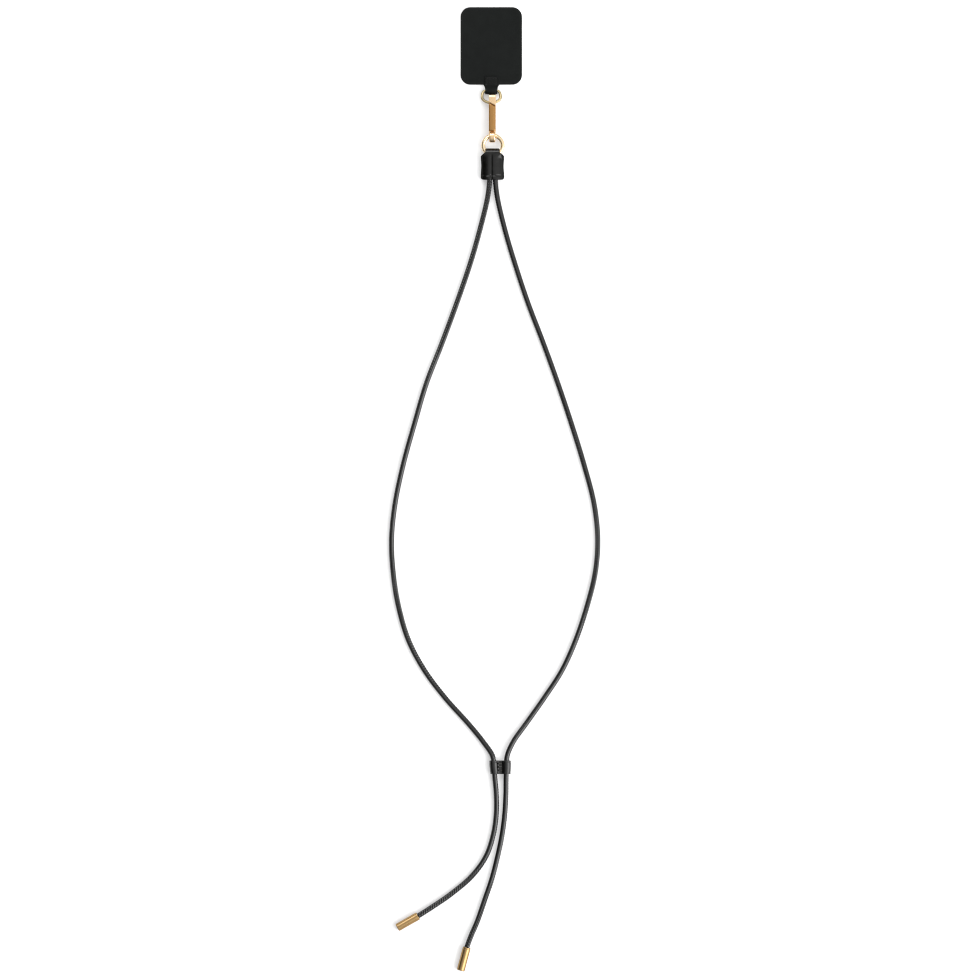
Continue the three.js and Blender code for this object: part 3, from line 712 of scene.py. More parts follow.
def right_of(line):
    """Unit vectors to the right of a closed flat line (n, 2), square to the chord
    between a point's neighbours."""
    chord = unit(np.roll(line, -1, 0) - np.roll(line, 1, 0))
    return np.column_stack([chord[:, 1], -chord[:, 0]])


def wire_loop(line, wire, tilt, centre, columns=24):
    """A circle of the wire's radius carried round a closed flat line (n, 2), tipped about x, and set at
    centre. The circle lies in the plane of the line's normal and the plane's own upright."""
    out = right_of(line)
    turn = full_turn(columns)
    flat = line[:, None] + wire * np.cos(turn)[:, None] * out[:, None]
    x, y = flat[..., 0], flat[..., 1]
    z = np.broadcast_to(wire * np.sin(turn), x.shape)
    y, z = y * np.cos(tilt) - z * np.sin(tilt), y * np.sin(tilt) + z * np.cos(tilt)
    return loop_shell(np.stack([x, y, z], axis=-1) + centre)


def d_line():
    """The bar from left to right, a quarter ellipse down to the widest place, the bow as a half ellipse,
    and a quarter ellipse back up, then made even."""
    across, down = D_CORNER
    quarter, half = np.linspace(np.pi / 2, 0, 30), np.linspace(0, -np.pi, 80)
    corner = np.column_stack([D_HALF - across + across * np.cos(quarter), -down + down * np.sin(quarter)])
    bow = np.column_stack([D_HALF * np.cos(half), -down + D_BOW * np.sin(half)])[1:-1]
    line = np.vstack([corner, bow, (corner * [-1, 1])[::-1], corner[:1]])
    closed = np.column_stack([line, np.zeros(len(line))])
    return even_spacing(closed, D_STEP)[0][:-1, :2] * MM


ring_turn = full_turn(120)
ring_line = RING_RADIUS * np.column_stack([np.cos(ring_turn), np.sin(ring_turn)])
ring_piece = new_piece("round_ring", wire_loop(ring_line, RING_WIRE, RING_TILT, RING_CENTRE, 32))
d_piece = new_piece("wire_d_ring", wire_loop(d_line(), D_WIRE, D_TILT, D_CENTRE))
print("ring and D-ring faces", len(ring_piece.data.polygons), len(d_piece.data.polygons))

# %% [markdown]
# ## The clasp
#
# The clasp is cast in zinc: a flat C-shaped hook with a closed eye at its foot, and a sprung gate held by
# a rivet. The two moving parts are separate pieces, because the gate swings. Each is an outline seen from
# the side, carried across the clasp's width, with its edges rounded off as tumbling rounds a casting. The
# hook's nose ends in a slanted cut, and the gate's tip follows it.

# %% Clasp helpers
# Sizes of the clasp are in millimetres, and each shell is turned into metres
CLASP_X = 0.6
CLASP_TOP_Y = -30.55
SLANT = 0.55
SLANT_BACK = 1.2
# A rounded edge starts with a row a little before its bevel, and ends with one a little inside the flat
# side, so that both flats look flat
ROW_BEFORE, ROW_INSIDE = 1.12, 1.1


def side_triangles(outline, turn):
    """Triangles that fill a flat outline (n, 2), all turned the way round that the outline's own
    points run, which is 1 or -1."""
    triangles = np.array(tessellate_polygon([[Vector((*point, 0)) for point in outline.tolist()]]))
    a, b, c = (outline[triangles[:, k]] for k in range(3))
    ab, ac = b - a, c - a
    same = (ab[:, 0] * ac[:, 1] - ab[:, 1] * ac[:, 0]) * turn > 0
    return np.where(same[:, None], triangles, triangles[:, ::-1])


def side_shell(corners, width, bevel, stations=(), change=None):
    """An outline (back, up, corner radius) in millimetres, carried across the width. Near both sides
    it shrinks along its own normals by bevel - bevel cos t, while it moves out by bevel sin t.
    change may then move points."""
    outline = rounded_line(corners)
    after = np.roll(outline, -1, 0)
    way_round = np.sign((outline[:, 0] * after[:, 1] - outline[:, 1] * after[:, 0]).sum())
    normal = right_of(outline) * way_round
    turn = np.linspace(0, np.pi / 2, 6)
    half = width / 2
    side = np.concatenate([[half - bevel * ROW_BEFORE], half - bevel * (1 - np.sin(turn)), [half]])
    inset = np.concatenate([[0], bevel * (1 - np.cos(turn)), [bevel * ROW_INSIDE]])
    inside = np.array(stations, float)
    x = np.concatenate([-side[::-1], inside, side])[:, None]
    shrink = np.concatenate([inset[::-1], np.zeros(inside.size), inset])[:, None]
    back = outline[:, 0] - shrink * normal[:, 0]
    up = outline[:, 1] - shrink * normal[:, 1]
    if change is not None:
        back, up = change(x, back, up)
    points = np.stack([np.broadcast_to(x + CLASP_X, back.shape), CLASP_TOP_Y - back, up], axis=-1)
    rows, columns = back.shape
    near, far = (side_triangles(np.column_stack([back[k], up[k]]), way_round) for k in (0, -1))
    ends = [near[:, ::-1], (rows - 1) * columns + far]
    return points.reshape(-1, 3) * MM, [grid_faces(rows, columns), *ends]


def slanted(x, back, near):
    """Moves back by 1.2 mm less 0.55 of x, where near is 1."""
    return back - near * (SLANT_BACK - SLANT * x)


# %% Hook
HOOK_WIDTH, HOOK_BEVEL = 4.3, 0.28
# Seen from the side: distance back from the clasp's top end, height over the floor, and corner radius
HOOK_OUTLINE = [
    (7.3, 10, 0.7), (0, 10, 1.8), (0, 0, 3.4), (24.2, 0, 0.45), (24.2, 5.1, 0.45), (19.8, 5.1, 0.5),
    (19.8, 2.2, 2.0), (2.2, 2.2, 2.0), (2.2, 7.8, 1.5), (7.3, 7.8, 0.5),
]
TANG_WIDTH, TANG_BEVEL = 2.0, 0.15
TANG_OUTLINE = [(20.0, 4.2, 0.35), (22.4, 4.2, 0.35), (22.4, 8.1, 1.1), (20.0, 8.1, 1.1)]
# The eye's half section about its own axis: distance across from the middle, radius, and corner radius
EYE_PROFILE = [(-1.85, 1.95, 0.5), (-1.85, 3.75, 0.85), (1.85, 3.75, 0.85), (1.85, 1.95, 0.5)]
EYE_CENTRE = (25.75, 3.75)
# Where the nose's cut fades in, back from the top end, and the height over which it reaches
NOSE_CUT, NOSE_UP = (3.6, 6.4), 7.4


def hook_change(x, back, up):
    """The slanted cut reaches only the nose's free end, which lies far enough back and high enough."""
    near = smooth_step(*NOSE_CUT, back) * (up > NOSE_UP)
    return slanted(x, back, near), np.broadcast_to(up, back.shape)


def eye_shell():
    """The eye's closed half section, carried round its axis, which runs across the clasp."""
    profile = rounded_line(EYE_PROFILE)
    turn = full_turn(64)[:, None]
    back = EYE_CENTRE[0] + profile[:, 1] * np.cos(turn)
    up = EYE_CENTRE[1] + profile[:, 1] * np.sin(turn)
    x = np.broadcast_to(CLASP_X + profile[:, 0], back.shape)
    return loop_shell(np.stack([x, CLASP_TOP_Y - back, up], axis=-1) * MM)


hook_shells = [side_shell(HOOK_OUTLINE, HOOK_WIDTH, HOOK_BEVEL, change=hook_change), eye_shell(),
               side_shell(TANG_OUTLINE, TANG_WIDTH, TANG_BEVEL)]
hook_piece = new_piece("clasp_hook", *hook_shells)
print("hook faces", len(hook_piece.data.polygons))

# %% Gate
GATE_WIDTH, GATE_BEVEL = 4.1, 0.24
GATE_OUTLINE = [
    (5.9, 6.5, 0.42), (5.9, 7.5, 0.42), (7.7, 7.5, 0.1), (7.7, 9.2, 0.6), (22.7, 9.2, 1.0),
    (22.7, 5.9, 1.4), (19.7, 5.9, 0.6), (18.2, 6.9, 0.5),
]
FORK_HALF = 1.3
FORK_BACK = 19.3
FORK_UP = 8.4
GATE_STATIONS = [-FORK_HALF - 0.01, -FORK_HALF + 0.01, -0.65, 0, 0.65, FORK_HALF - 0.01, FORK_HALF + 0.01]
# Where the tip's cut fades out, the tongue's top, which it leaves alone, and the
# heights where the crown fades in
TIP_CUT, TONGUE_UP, CROWN_FADE = (8.0, 9.5), 7.55, (7.6, 9.2)
CROWN, RIGHT_CROWN = 0.4, 0.35
RIVET_PLACE = (21.2, 6.9)
RIVET_PROFILE = [(-2.1, 0.02, 0), (-2.08, 0.6, 0.15), (2.08, 0.6, 0.15), (2.1, 0.02, 0)]


def gate_change(x, back, up):
    """The tip follows the nose's cut, and the top is crowned by 0.4 u^6, with u = 2x /
    width, and on the right by 0.35 u^2.5 more. Between the fork's two arms whatever hangs
    below the roof is lifted to it."""
    near = (1 - smooth_step(*TIP_CUT, back)) * (up > TONGUE_UP)
    back = slanted(x, back, near)
    across = 2 * x / GATE_WIDTH
    crown = CROWN * across**6 + RIGHT_CROWN * np.clip(across, 0, 1) ** 2.5
    up = up - crown * smooth_step(*CROWN_FADE, up)
    in_fork = (np.abs(x) < FORK_HALF) & (back > FORK_BACK)
    return back, np.where(in_fork, np.maximum(up, FORK_UP), up)


def rivet_shell():
    """The rivet through the gate's two arms and the hook's tang."""
    centre = np.array([CLASP_X, CLASP_TOP_Y - RIVET_PLACE[0], RIVET_PLACE[1]]) * MM
    return turned_shell(rounded_line(RIVET_PROFILE) * MM, centre, np.array([1.0, 0, 0]), 24)


gate_shells = [side_shell(GATE_OUTLINE, GATE_WIDTH, GATE_BEVEL, GATE_STATIONS, gate_change), rivet_shell()]
gate_piece = new_piece("clasp_gate", *gate_shells)
print("gate faces", len(gate_piece.data.polygons))

# %% [markdown]
# ## The patch and its neck
#
# The patch is a thin woven sheet with heat-sealed edges, cut in one piece with a narrow neck. The neck
# runs round the D-ring's bar and is bonded and sewn back onto the sheet. It is another folded blank: its
# rows start at the patch's far end, run down the sheet, out along the neck, round the bar by a half
# turn, and back up onto the sheet.

# %% Patch
# Sizes are in millimetres in this cell and the next, and the shell and the lines are turned into metres
PATCH_HALF = 19.0
PATCH_TOP = 24.0
PATCH_CORNER = 6.0
PATCH_THICK = 1.0
NECK_HALF = 3.85
NECK_FLARE, FLARE_LENGTH = 1.1, 3
BAR_Y, BAR_Z = -28.0, 2.15
BAR_TURN = 1.65
BOND_START, BOND_END = -23.6, -19.0
PATCH_EDGE = 0.3
PATCH_COLUMNS = 72
# The sealed band along a cut edge: the distances between which it ends, and how far each face is pressed
# in
SEAL_FADE, SEAL_DEPTH = (0.9, 1.5), 0.06


def patch_line():
    """The blank's middle line in the side view, (y, z): flat on the floor down to the bar, a half turn of
    1.65 mm round it, then an S-shaped fall of the returning neck onto the sheet's upper face."""
    corner = PATCH_CORNER * (1 - np.cos(np.linspace(0, np.pi / 2, 13)))
    upper, lower = PATCH_TOP - corner[:-1], -PATCH_TOP + corner[::-1]
    straight = np.linspace(PATCH_TOP - PATCH_CORNER, -PATCH_TOP + PATCH_CORNER, 46)
    sheet_y = np.concatenate([upper, straight, lower[1:]])
    neck_y = np.linspace(-PATCH_TOP - 0.02, BAR_Y, 16)
    turn = np.linspace(0, np.pi, 17)[1:-1]
    back_y = np.linspace(BAR_Y, BOND_END, 36)
    top_z, bond_z = BAR_Z + BAR_TURN, 1.5 * PATCH_THICK + 0.02
    back_z = top_z + (bond_z - top_z) * smooth_step(BAR_Y, BOND_START, back_y)
    flat_z = PATCH_THICK / 2
    y = np.concatenate([sheet_y, neck_y, BAR_Y - BAR_TURN * np.sin(turn), back_y])
    flat = np.full(sheet_y.size + neck_y.size, flat_z)
    z = np.concatenate([flat, BAR_Z - BAR_TURN * np.cos(turn), back_z])
    return y, z, sheet_y.size, neck_y.size


def patch_half_width(y, sheet_rows, neck_rows):
    """The sheet's half width, less a quarter circle at its corners, then the neck's, with its flare as a
    fall of (1 - t)^2 over the first 3 mm past the sheet's edge."""
    sheet = PATCH_HALF - edge_rounding(PATCH_TOP - np.abs(y[:sheet_rows]), PATCH_CORNER)
    past = np.clip((-PATCH_TOP - y[sheet_rows : sheet_rows + neck_rows]) / FLARE_LENGTH, 0, 1)
    neck = NECK_HALF + NECK_FLARE * (1 - past) ** 2
    return np.concatenate([sheet, neck, np.full(len(y) - sheet_rows - neck_rows, NECK_HALF)])


def patch_shell():
    """The blank's two faces lie half its thickness to each side of its middle line, along
    that line's normal. Near every cut edge both faces fall in by the seal's rounding and
    are pressed 0.12 mm thinner."""
    y, z, sheet_rows, neck_rows = patch_line()
    tangent = unit(np.column_stack([np.gradient(y), np.gradient(z)]))
    direction = np.column_stack([tangent[:, 1], -tangent[:, 0]])
    half = patch_half_width(y, sheet_rows, neck_rows)[:, None]
    x = half * np.sin(np.linspace(-np.pi / 2, np.pi / 2, PATCH_COLUMNS))[None, :]
    run = np.concatenate([[0], np.cumsum(np.hypot(np.diff(y), np.diff(z)))])[:, None]
    from_edge = np.minimum(half - np.abs(x), np.minimum(run, run[-1] - run))
    on_sheet = (np.arange(len(y)) < sheet_rows)[:, None]
    past_neck = np.where(np.abs(x) > NECK_HALF + NECK_FLARE, y[:, None] + PATCH_TOP, PATCH_TOP)
    from_edge = np.where(on_sheet, np.minimum(from_edge, past_neck), from_edge)
    pressed = 1 - smooth_step(*SEAL_FADE, from_edge)
    thick = PATCH_THICK / 2 - edge_rounding(from_edge, PATCH_EDGE) - SEAL_DEPTH * pressed
    points, parts = blank_shell(x, np.column_stack([y, z]), direction, thick, -thick)
    uv = both_faces(np.stack(np.broadcast_arrays(run, x), axis=-1)).reshape(-1, 2) * MM
    area = (np.diff(run[:, 0]) * (half[1:, 0] + half[:-1, 0])).sum()
    return points * MM, parts, uv, both_faces(pressed).ravel(), area, run[-1, 0]


patch_points, patch_parts, patch_uv, patch_edge, patch_area, patch_run = patch_shell()
patch_piece = new_piece("patch_and_neck", (patch_points, patch_parts))
add_point_uv(patch_piece, patch_uv)
add_attribute(patch_piece, "edge", patch_edge)
print("patch blank mm", round(2 * PATCH_HALF, 1), round(patch_run, 1), "area mm2", round(patch_area))

# %% Neck stitches
NECK_STITCH_ROWS = (-20.2, -22.6)
NECK_STITCH_COUNT = 4
NECK_STITCH_HALF = 0.75
# How far a thread's ends lie below the neck's upper face, and how much its middle rises over them
NECK_STITCH_SINK, NECK_STITCH_RISE = 0.12, 0.16


def neck_stitch_lines():
    """Two rows of short threads across the neck, where it is sewn onto the sheet: each rises in its
    middle as 1 - t^2 over the neck's upper face."""
    step = 2 * NECK_HALF / (NECK_STITCH_COUNT + 0.4)
    middle = (np.arange(NECK_STITCH_COUNT) - (NECK_STITCH_COUNT - 1) / 2) * step
    rows, middle = (part.ravel() for part in np.meshgrid(NECK_STITCH_ROWS, middle))
    t = np.linspace(-1, 1, THREAD_RINGS)
    x = middle[:, None] + NECK_STITCH_HALF * t
    z = np.broadcast_to(2 * PATCH_THICK - NECK_STITCH_SINK + NECK_STITCH_RISE * (1 - t**2), x.shape)
    return np.stack([x, np.broadcast_to(rows[:, None], x.shape), z], axis=-1) * MM


neck_threads = new_piece("neck_stitches", threads(neck_stitch_lines(), DOWN_THE_STRAP))
print("neck stitches", len(NECK_STITCH_ROWS) * NECK_STITCH_COUNT)

# %% [markdown]
# ## Finishes
#
# Colours are written as sRGB hex and turned to linear by one function. Patterns read Object
# coordinates, which are metres here, so a texture's scale is one over the real size of its grain.
# The woven patch reads its own UV map, which is the distance along and across its blank, so its
# weave goes round the fold with it.

# %% Material helpers
def linear(hex_colour):
    """sRGB to linear: s / 12.92 up to 0.04045, and ((s + 0.055) / 1.055) to the power 2.4 above it."""
    s = np.array([int(hex_colour[k : k + 2], 16) for k in (1, 3, 5)]) / 255
    rgb = np.where(s <= 0.04045, s / 12.92, ((s + 0.055) / 1.055) ** 2.4)
    return (*rgb.tolist(), 1.0)


def add_node(tree, kind, inputs=(), **settings):
    """A node of this kind with its settings. Each input is given a value, or linked to another node's
    output."""
    node = tree.nodes.new("ShaderNode" + kind)
    for name, value in settings.items():
        setattr(node, name, value)
    for socket, value in dict(inputs).items():
        if isinstance(value, bpy.types.NodeSocket):
            tree.links.new(value, node.inputs[socket])
        else:
            node.inputs[socket].default_value = value
    return node


def new_material(name, values):
    """A material with its node tree and its Principled shader, whose even values are set by socket
    name."""
    material = bpy.data.materials.new(name)
    material.use_nodes = True
    tree = material.node_tree
    shader = tree.nodes["Principled BSDF"]
    for socket, value in values.items():
        shader.inputs[socket].default_value = value
    return material, tree, shader


def finish_material(tree, shader, colour, bump, roughness=None):
    """The colour, the bump and, where it changes over the piece, the roughness, linked to the shader."""
    for socket, output in (("Base Color", colour), ("Normal", bump.outputs[0]), ("Roughness", roughness)):
        if output:
            tree.links.new(output, shader.inputs[socket])


def put_on(material, *pieces):
    """The material on each piece."""
    for piece in pieces:
        piece.data.materials.clear()
        piece.data.materials.append(material)


# %% [markdown]
# Glazed calf is chrome-tanned calfskin, dyed through, and ironed under pressure with a thin glaze. The
# eye sees a near-black with small sharp lights, over a fine grain of about 0.4 mm and slow cloudy
# changes of gloss where the glaze is thicker or rubbed. Cut edges are sealed with edge paint, which is
# smoother and a little glossier.

# %% Glazed calf
EDGE_PAINT = "#0B0B0B"
GRAIN_STRENGTH, PAINTED_STRENGTH = 0.3, 0.05
GRAIN_HEIGHT = 0.05 * MM


def glazed_calf(name, deep, worn, grain, rough, glaze, edge=False):
    """Clouds ten grains wide mix the deep and the worn colour and move the roughness. The grain's cells
    and a finer noise make the bump. The glaze is how strongly the skin reflects. Where edge is asked for,
    the piece's edge attribute turns the finish to edge paint."""
    material, tree, shader = new_material(name, {"Specular IOR Level": glaze})
    place = add_node(tree, "TexCoord").outputs["Object"]
    clouds = add_node(tree, "TexNoise", {"Vector": place, "Scale": 0.1 / grain, "Detail": 4.0}).outputs[0]
    cells = add_node(tree, "TexVoronoi", {"Vector": place, "Scale": 1 / grain}, feature="SMOOTH_F1")
    fine = add_node(tree, "TexNoise", {"Vector": place, "Scale": 4 / grain, "Detail": 2.0}).outputs[0]
    height = add_node(tree, "Math", {0: fine, 1: 0.35, 2: cells.outputs["Distance"]},
                      operation="MULTIPLY_ADD").outputs[0]
    patch = add_node(tree, "MapRange", {"Value": clouds, "From Min": 0.35, "From Max": 0.65}).outputs[0]
    colour = add_node(tree, "Mix", {0: patch, 6: linear(deep), 7: linear(worn)},
                      data_type="RGBA").outputs[2]
    gloss = add_node(tree, "MapRange",
                     {"Value": patch, "To Min": rough - 0.05, "To Max": rough + 0.07}).outputs[0]
    strength = GRAIN_STRENGTH
    if edge:
        painted = add_node(tree, "Attribute", attribute_name="edge").outputs["Fac"]
        sharp = add_node(tree, "MapRange",
                         {"Value": painted, "From Min": 0.25, "From Max": 0.6}).outputs[0]
        colour = add_node(tree, "Mix", {0: sharp, 6: colour, 7: linear(EDGE_PAINT)},
                          data_type="RGBA").outputs[2]
        gloss = add_node(tree, "Mix", {0: sharp, 2: gloss, 3: rough - 0.08}).outputs[0]
        strength = add_node(tree, "MapRange", {"Value": sharp, "To Min": GRAIN_STRENGTH,
                                               "To Max": PAINTED_STRENGTH}).outputs[0]
    bump = add_node(tree, "Bump", {"Height": height, "Distance": GRAIN_HEIGHT, "Strength": strength})
    finish_material(tree, shader, colour, bump, gloss)
    return material


cord_leather = glazed_calf("glazed_calf_cord", "#020202", "#090909", 0.4 * MM, 0.17, 0.68)
tab_leather = glazed_calf("glazed_calf_tab", "#030302", "#080807", 0.45 * MM, 0.2, 0.36, edge=True)
slider_leather = glazed_calf("glazed_calf_slider", "#020202", "#090909", 0.4 * MM, 0.2, 0.6)
print("leathers", cord_leather.name, tab_leather.name, slider_leather.name)

# %% [markdown]
# The thread is bonded polyester, twisted from three strands and drawn through wax. Wax makes it dull and
# slightly uneven. Its twist of 0.3 mm is drawn as a bump.

# %% Waxed thread
STRAND = 0.3 * MM


def waxed_thread(name, colour, light):
    """Noise a third of a millimetre wide mixes the thread's two tones, and gives the bump of its
    strands."""
    material, tree, shader = new_material(name, {"Roughness": 0.6, "Specular IOR Level": 0.25})
    place = add_node(tree, "TexCoord").outputs["Object"]
    strands = add_node(tree, "TexNoise", {"Vector": place, "Scale": 1 / STRAND, "Detail": 3.0})
    tone = add_node(tree, "Mix", {0: strands.outputs[0], 6: linear(colour), 7: linear(light)},
                    data_type="RGBA").outputs[2]
    bump = add_node(tree, "Bump", {"Height": strands.outputs[0], "Distance": 0.06 * MM, "Strength": 0.5})
    finish_material(tree, shader, tone, bump)
    return material


seam_thread = waxed_thread("waxed_polyester_thread", "#060606", "#141413")
slider_thread = waxed_thread("waxed_polyester_slider_thread", "#1E1E1D", "#5A5A56")
print("threads", seam_thread.name, slider_thread.name)

# %% [markdown]
# The metal is a zinc or brass part plated in pale gold, polished, and dipped in clear lacquer, which
# gives its lights a white edge. A plating this thin follows every mark below it: faint clouds of polish
# about 3 mm wide and fine rubbed lines. The gate is stamped and only tumbled, so it is a browner and
# duller gold. The D-ring's wire has an antique tone, darker where polish didn't reach.

# %% Plated gold
POLISH_CLOUD = 3 * MM
RUBBED_LINE, LINE_STRETCH = 0.25 * MM, (1.0, 0.12, 1.0)


def plated_gold(name, bright, dull, rough, mark, lacquer):
    """Clouds mix the bright and the dull gold and move the roughness. Stretched noise makes the rubbed
    lines, with a height of a few thousandths of a millimetre."""
    values = {"Metallic": 1.0, "Specular Tint": linear(dull), "Coat Weight": lacquer, "Coat Roughness": 0.12}
    material, tree, shader = new_material(name, values)
    place = add_node(tree, "TexCoord").outputs["Object"]
    clouds = add_node(tree, "TexNoise",
                      {"Vector": place, "Scale": 1 / POLISH_CLOUD, "Detail": 3.0}).outputs[0]
    stretch = add_node(tree, "Mapping", {"Vector": place, "Scale": LINE_STRETCH}).outputs[0]
    lines = add_node(tree, "TexNoise",
                     {"Vector": stretch, "Scale": 1 / RUBBED_LINE, "Detail": 3.0}).outputs[0]
    tone = add_node(tree, "Mix", {0: clouds, 6: linear(bright), 7: linear(dull)},
                    data_type="RGBA").outputs[2]
    gloss = add_node(tree, "MapRange",
                     {"Value": clouds, "From Min": 0.3, "From Max": 0.7, "To Min": rough - 0.04,
                      "To Max": rough + 0.06}).outputs[0]
    bump = add_node(tree, "Bump", {"Height": lines, "Distance": mark, "Strength": 0.35})
    finish_material(tree, shader, tone, bump, gloss)
    return material


ring_gold = plated_gold("polished_pale_gold_plate", "#F6E2C0", "#ECD1A4", 0.26, 0.012 * MM, 0.1)
hook_gold = plated_gold("polished_cast_gold_plate", "#F2D4AC", "#E6C498", 0.26, 0.012 * MM, 0.15)
cap_gold = plated_gold("polished_drawn_gold_plate", "#B8986A", "#A18252", 0.3, 0.012 * MM, 0.3)
gate_gold = plated_gold("tumbled_gold_plate", "#B1854B", "#A0733C", 0.3, 0.015 * MM, 0.6)
antique_gold = plated_gold("antique_gold_plate", "#C6B68E", "#9E8D68", 0.32, 0.02 * MM, 0.1)
print("metals", ring_gold.name, hook_gold.name, cap_gold.name, gate_gold.name, antique_gold.name)

# %% [markdown]
# The patch is a plain weave of nylon yarn, dyed black, with a very thin rubber coating that keeps it
# flat. Yarns lie 0.5 mm apart here, which is coarser than the real 0.25 mm, so that they show. The
# sealed edge has melted smooth.

# %% Woven nylon
YARN = 0.5 * MM
YARN_HEIGHT = 0.08 * MM
NYLON_CLOUD = 6 * MM
MELTED_NYLON = "#0A0C0B"


def woven_nylon(name, deep, light):
    """Over and under: the product of two sine waves, one along and one across the blank, tells
    which yarn is on top. Each yarn's own roundness is the size of a sine across it. The bump follows
    the higher yarn; the colour is painted highlight on yarn crowns and painted shade between yarns."""
    material, tree, shader = new_material(name, {"Specular IOR Level": 0.14})
    uv = add_node(tree, "UVMap", uv_map="along").outputs[0]
    split = add_node(tree, "SeparateXYZ", {0: uv})
    waves = []
    for axis in ("X", "Y"):
        turn = add_node(tree, "Math", {0: split.outputs[axis], 1: np.pi / YARN}, operation="MULTIPLY")
        waves.append(add_node(tree, "Math", {0: turn.outputs[0]}, operation="SINE").outputs[0])
    round_yarns = [add_node(tree, "Math", {0: w}, operation="ABSOLUTE").outputs[0] for w in waves]
    over = add_node(tree, "Math", {0: waves[0], 1: waves[1]}, operation="MULTIPLY").outputs[0]
    on_top = add_node(tree, "Math", {0: over, 1: 0.0}, operation="GREATER_THAN").outputs[0]
    height = add_node(tree, "Mix", {0: on_top, 2: round_yarns[0], 3: round_yarns[1]}).outputs[0]
    melted = add_node(tree, "Attribute", attribute_name="edge").outputs["Fac"]
    place = add_node(tree, "TexCoord").outputs["Object"]
    clouds = add_node(tree, "TexNoise",
                      {"Vector": place, "Scale": 1 / NYLON_CLOUD, "Detail": 4.0}).outputs[0]
    # Painted highlight and shade: the colour is lighter on each yarn's crown and darker in the gaps between
    # yarns, scaled by clouds of random tone.
    shade = add_node(tree, "Math", {0: height, 1: clouds}, operation="MULTIPLY").outputs[0]
    woven = add_node(tree, "Mix", {0: shade, 6: linear(deep), 7: linear(light)},
                     data_type="RGBA").outputs[2]
    colour = add_node(tree, "Mix", {0: melted, 6: woven, 7: linear(MELTED_NYLON)},
                      data_type="RGBA").outputs[2]
    gloss = add_node(tree, "MapRange", {"Value": melted, "To Min": 0.72, "To Max": 0.4}).outputs[0]
    strength = add_node(tree, "MapRange", {"Value": melted, "To Min": 0.6, "To Max": 0.08}).outputs[0]
    bump = add_node(tree, "Bump", {"Height": height, "Distance": YARN_HEIGHT, "Strength": strength})
    finish_material(tree, shader, colour, bump, gloss)
    return material


patch_nylon = woven_nylon("woven_nylon", "#080A09", "#141716")
print("cloth", patch_nylon.name)

# %% Finishes on the pieces
put_on(cord_leather, left_cord, right_cord)
put_on(seam_thread, left_cord_stitches, right_cord_stitches, neck_threads)
put_on(slider_leather, slider_piece)
put_on(slider_thread, slider_threads)
put_on(tab_leather, tab_piece)
put_on(cap_gold, left_cap, right_cap)
put_on(ring_gold, ring_piece)
put_on(hook_gold, hook_piece)
put_on(gate_gold, gate_piece)
put_on(antique_gold, d_piece)
put_on(patch_nylon, patch_piece)

# %% [markdown]
# ## Floor and light
#
# The photo has a white ground and soft light from the right, a little below the middle, so every shadow
# lies close on the left. A wide sun gives the even part of it. A softbox near the lower end draws the
# bright lines on the lower cords, and one beyond the upper end lights the metal from there. The room is
# brightest overhead and dim on the left, which is what draws the dark halves of the gold and the leather.

# %% Floor and light
KEY_ELEVATION = np.radians(52)
KEY_AZIMUTH = np.radians(-19)
KEY_STRENGTH = 1.6
KEY_ANGLE = np.radians(44)
# Each softbox: where its middle is, the point that it faces, its width and height in metres, and its
# radiance
SOFTBOXES = {
    "softbox_right": ((0.75, -0.72, 0.5), (0, -0.5, 0), (0.9, 0.9), 3.1),
    "softbox_top": ((-0.35, 0.75, 1.1), (0, -0.5, 0), (1.4, 0.8), 4.2),
}
ROOM_SIDE = (0.6, -0.15, 0.785)
ROOM_DIM, ROOM_BRIGHT = 0.06, 1.3
BOARD_HALF = 3.0
BOARD_GLOW = 0.3


def add_floor():
    """A plain pale plane under the object."""
    corners = [(x * BOARD_HALF, y * BOARD_HALF, 0) for x, y in ((-1, -1), (1, -1), (1, 1), (-1, 1))]
    mesh = bpy.data.meshes.new("floor")
    mesh.from_pydata(corners, [], [(0, 1, 2, 3)])
    floor = add_object("floor", mesh)
    values = {"Base Color": linear("#CACACA"), "Roughness": 0.9, "Specular IOR Level": 0.2,
              "Emission Color": linear("#FFFFFF"), "Emission Strength": BOARD_GLOW}
    material, _, _ = new_material("matte_white_light_board", values)
    mesh.materials.append(material)


def key_direction():
    """The unit vector from the object to the light: round from the x axis by the azimuth, and up."""
    flat = np.cos(KEY_ELEVATION)
    return np.array([flat * np.cos(KEY_AZIMUTH), flat * np.sin(KEY_AZIMUTH), np.sin(KEY_ELEVATION)])


def add_key():
    """A sun turned so that its own -z axis runs from the light to the object. It is left out of
    reflections, where the softboxes take its place."""
    data = bpy.data.lights.new("key", "SUN")
    data.energy, data.angle = KEY_STRENGTH, KEY_ANGLE
    key = add_object("key", data)
    key.rotation_euler = Vector(key_direction()).to_track_quat("Z", "Y").to_euler()
    key.visible_glossy = False


def add_softbox(name, place, facing, size, radiance):
    """A rectangle light whose own -z axis runs to the point it faces. Its power is pi x area x
    radiance."""
    data = bpy.data.lights.new(name, "AREA")
    data.shape = "RECTANGLE"
    data.size, data.size_y = size
    data.energy = np.pi * size[0] * size[1] * radiance
    softbox = add_object(name, data)
    softbox.location = place
    softbox.rotation_euler = (Vector(place) - Vector(facing)).to_track_quat("Z", "Y").to_euler()


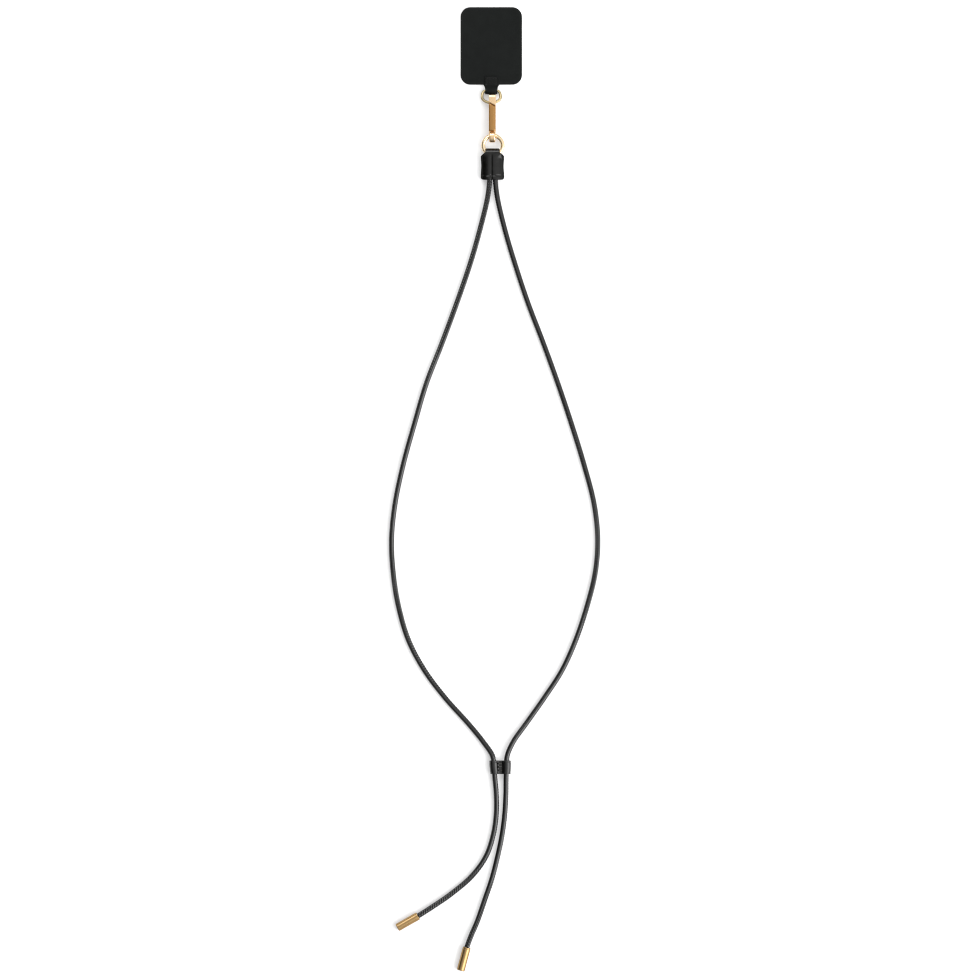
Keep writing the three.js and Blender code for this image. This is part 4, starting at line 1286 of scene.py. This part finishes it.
def add_room():
    """The room's brightness grows with the square of a share, which runs evenly from 0 to 1 with the
    cosine between the way looked in and the room's bright side."""
    world = bpy.data.worlds.new("room")
    world.use_nodes = True
    bpy.context.scene.world = world
    tree = world.node_tree
    way = add_node(tree, "TexCoord").outputs["Generated"]
    cosine = add_node(tree, "VectorMath", {0: way, 1: ROOM_SIDE}, operation="DOT_PRODUCT")
    share = add_node(tree, "MapRange",
                     {"Value": cosine.outputs["Value"], "From Min": -0.3, "From Max": 1.0}).outputs[0]
    square = add_node(tree, "Math", {0: share, 1: share}, operation="MULTIPLY").outputs[0]
    strength = add_node(tree, "MapRange",
                        {"Value": square, "To Min": ROOM_DIM, "To Max": ROOM_BRIGHT}).outputs[0]
    background = tree.nodes["Background"]
    background.inputs["Color"].default_value = (1, 1, 1, 1)
    tree.links.new(strength, background.inputs["Strength"])


add_floor()
add_key()
for name, values in SOFTBOXES.items():
    add_softbox(name, *values)
add_room()
bpy.context.scene.view_settings.view_transform = "Standard"
bpy.context.scene.cycles.filter_width = 1.1
print("key from", key_direction().round(2))

# %% [markdown]
# ## What each piece is
#
# Last, each piece is said to ride on its body, and the CAD node that it stands for is hidden.

# %% Bodies, nodes and slots
ROLES = [
    (patch_piece, BODY, "phone_patch", "patch_sheet"), (neck_threads, BODY, None, "patch_sheet"),
    (d_piece, BODY, "d_ring", "gold_hardware"), (hook_piece, BODY, "hook_body", "gold_hardware"),
    (gate_piece, "gate", "gate", "gold_gate"), (ring_piece, BODY, "ring", "gold_hardware"),
    (tab_piece, BODY, "leather_tab", "tab_leather"), (left_cord, BODY, "cord_left", "cord_leather"),
    (right_cord, BODY, "cord_right", "cord_leather"), (left_cord_stitches, BODY, None, "cord_leather"),
    (right_cord_stitches, BODY, None, "cord_leather"), (slider_piece, BODY, "slider", "cord_leather"),
    (slider_threads, BODY, None, "cord_leather"), (left_cap, BODY, "end_cap_left", "gold_hardware"),
    (right_cap, BODY, "end_cap_right", "gold_hardware"),
]
for piece, body, node, slot in ROLES:
    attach(piece, body)
    if node:
        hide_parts(node)
print("pieces", len(ROLES))
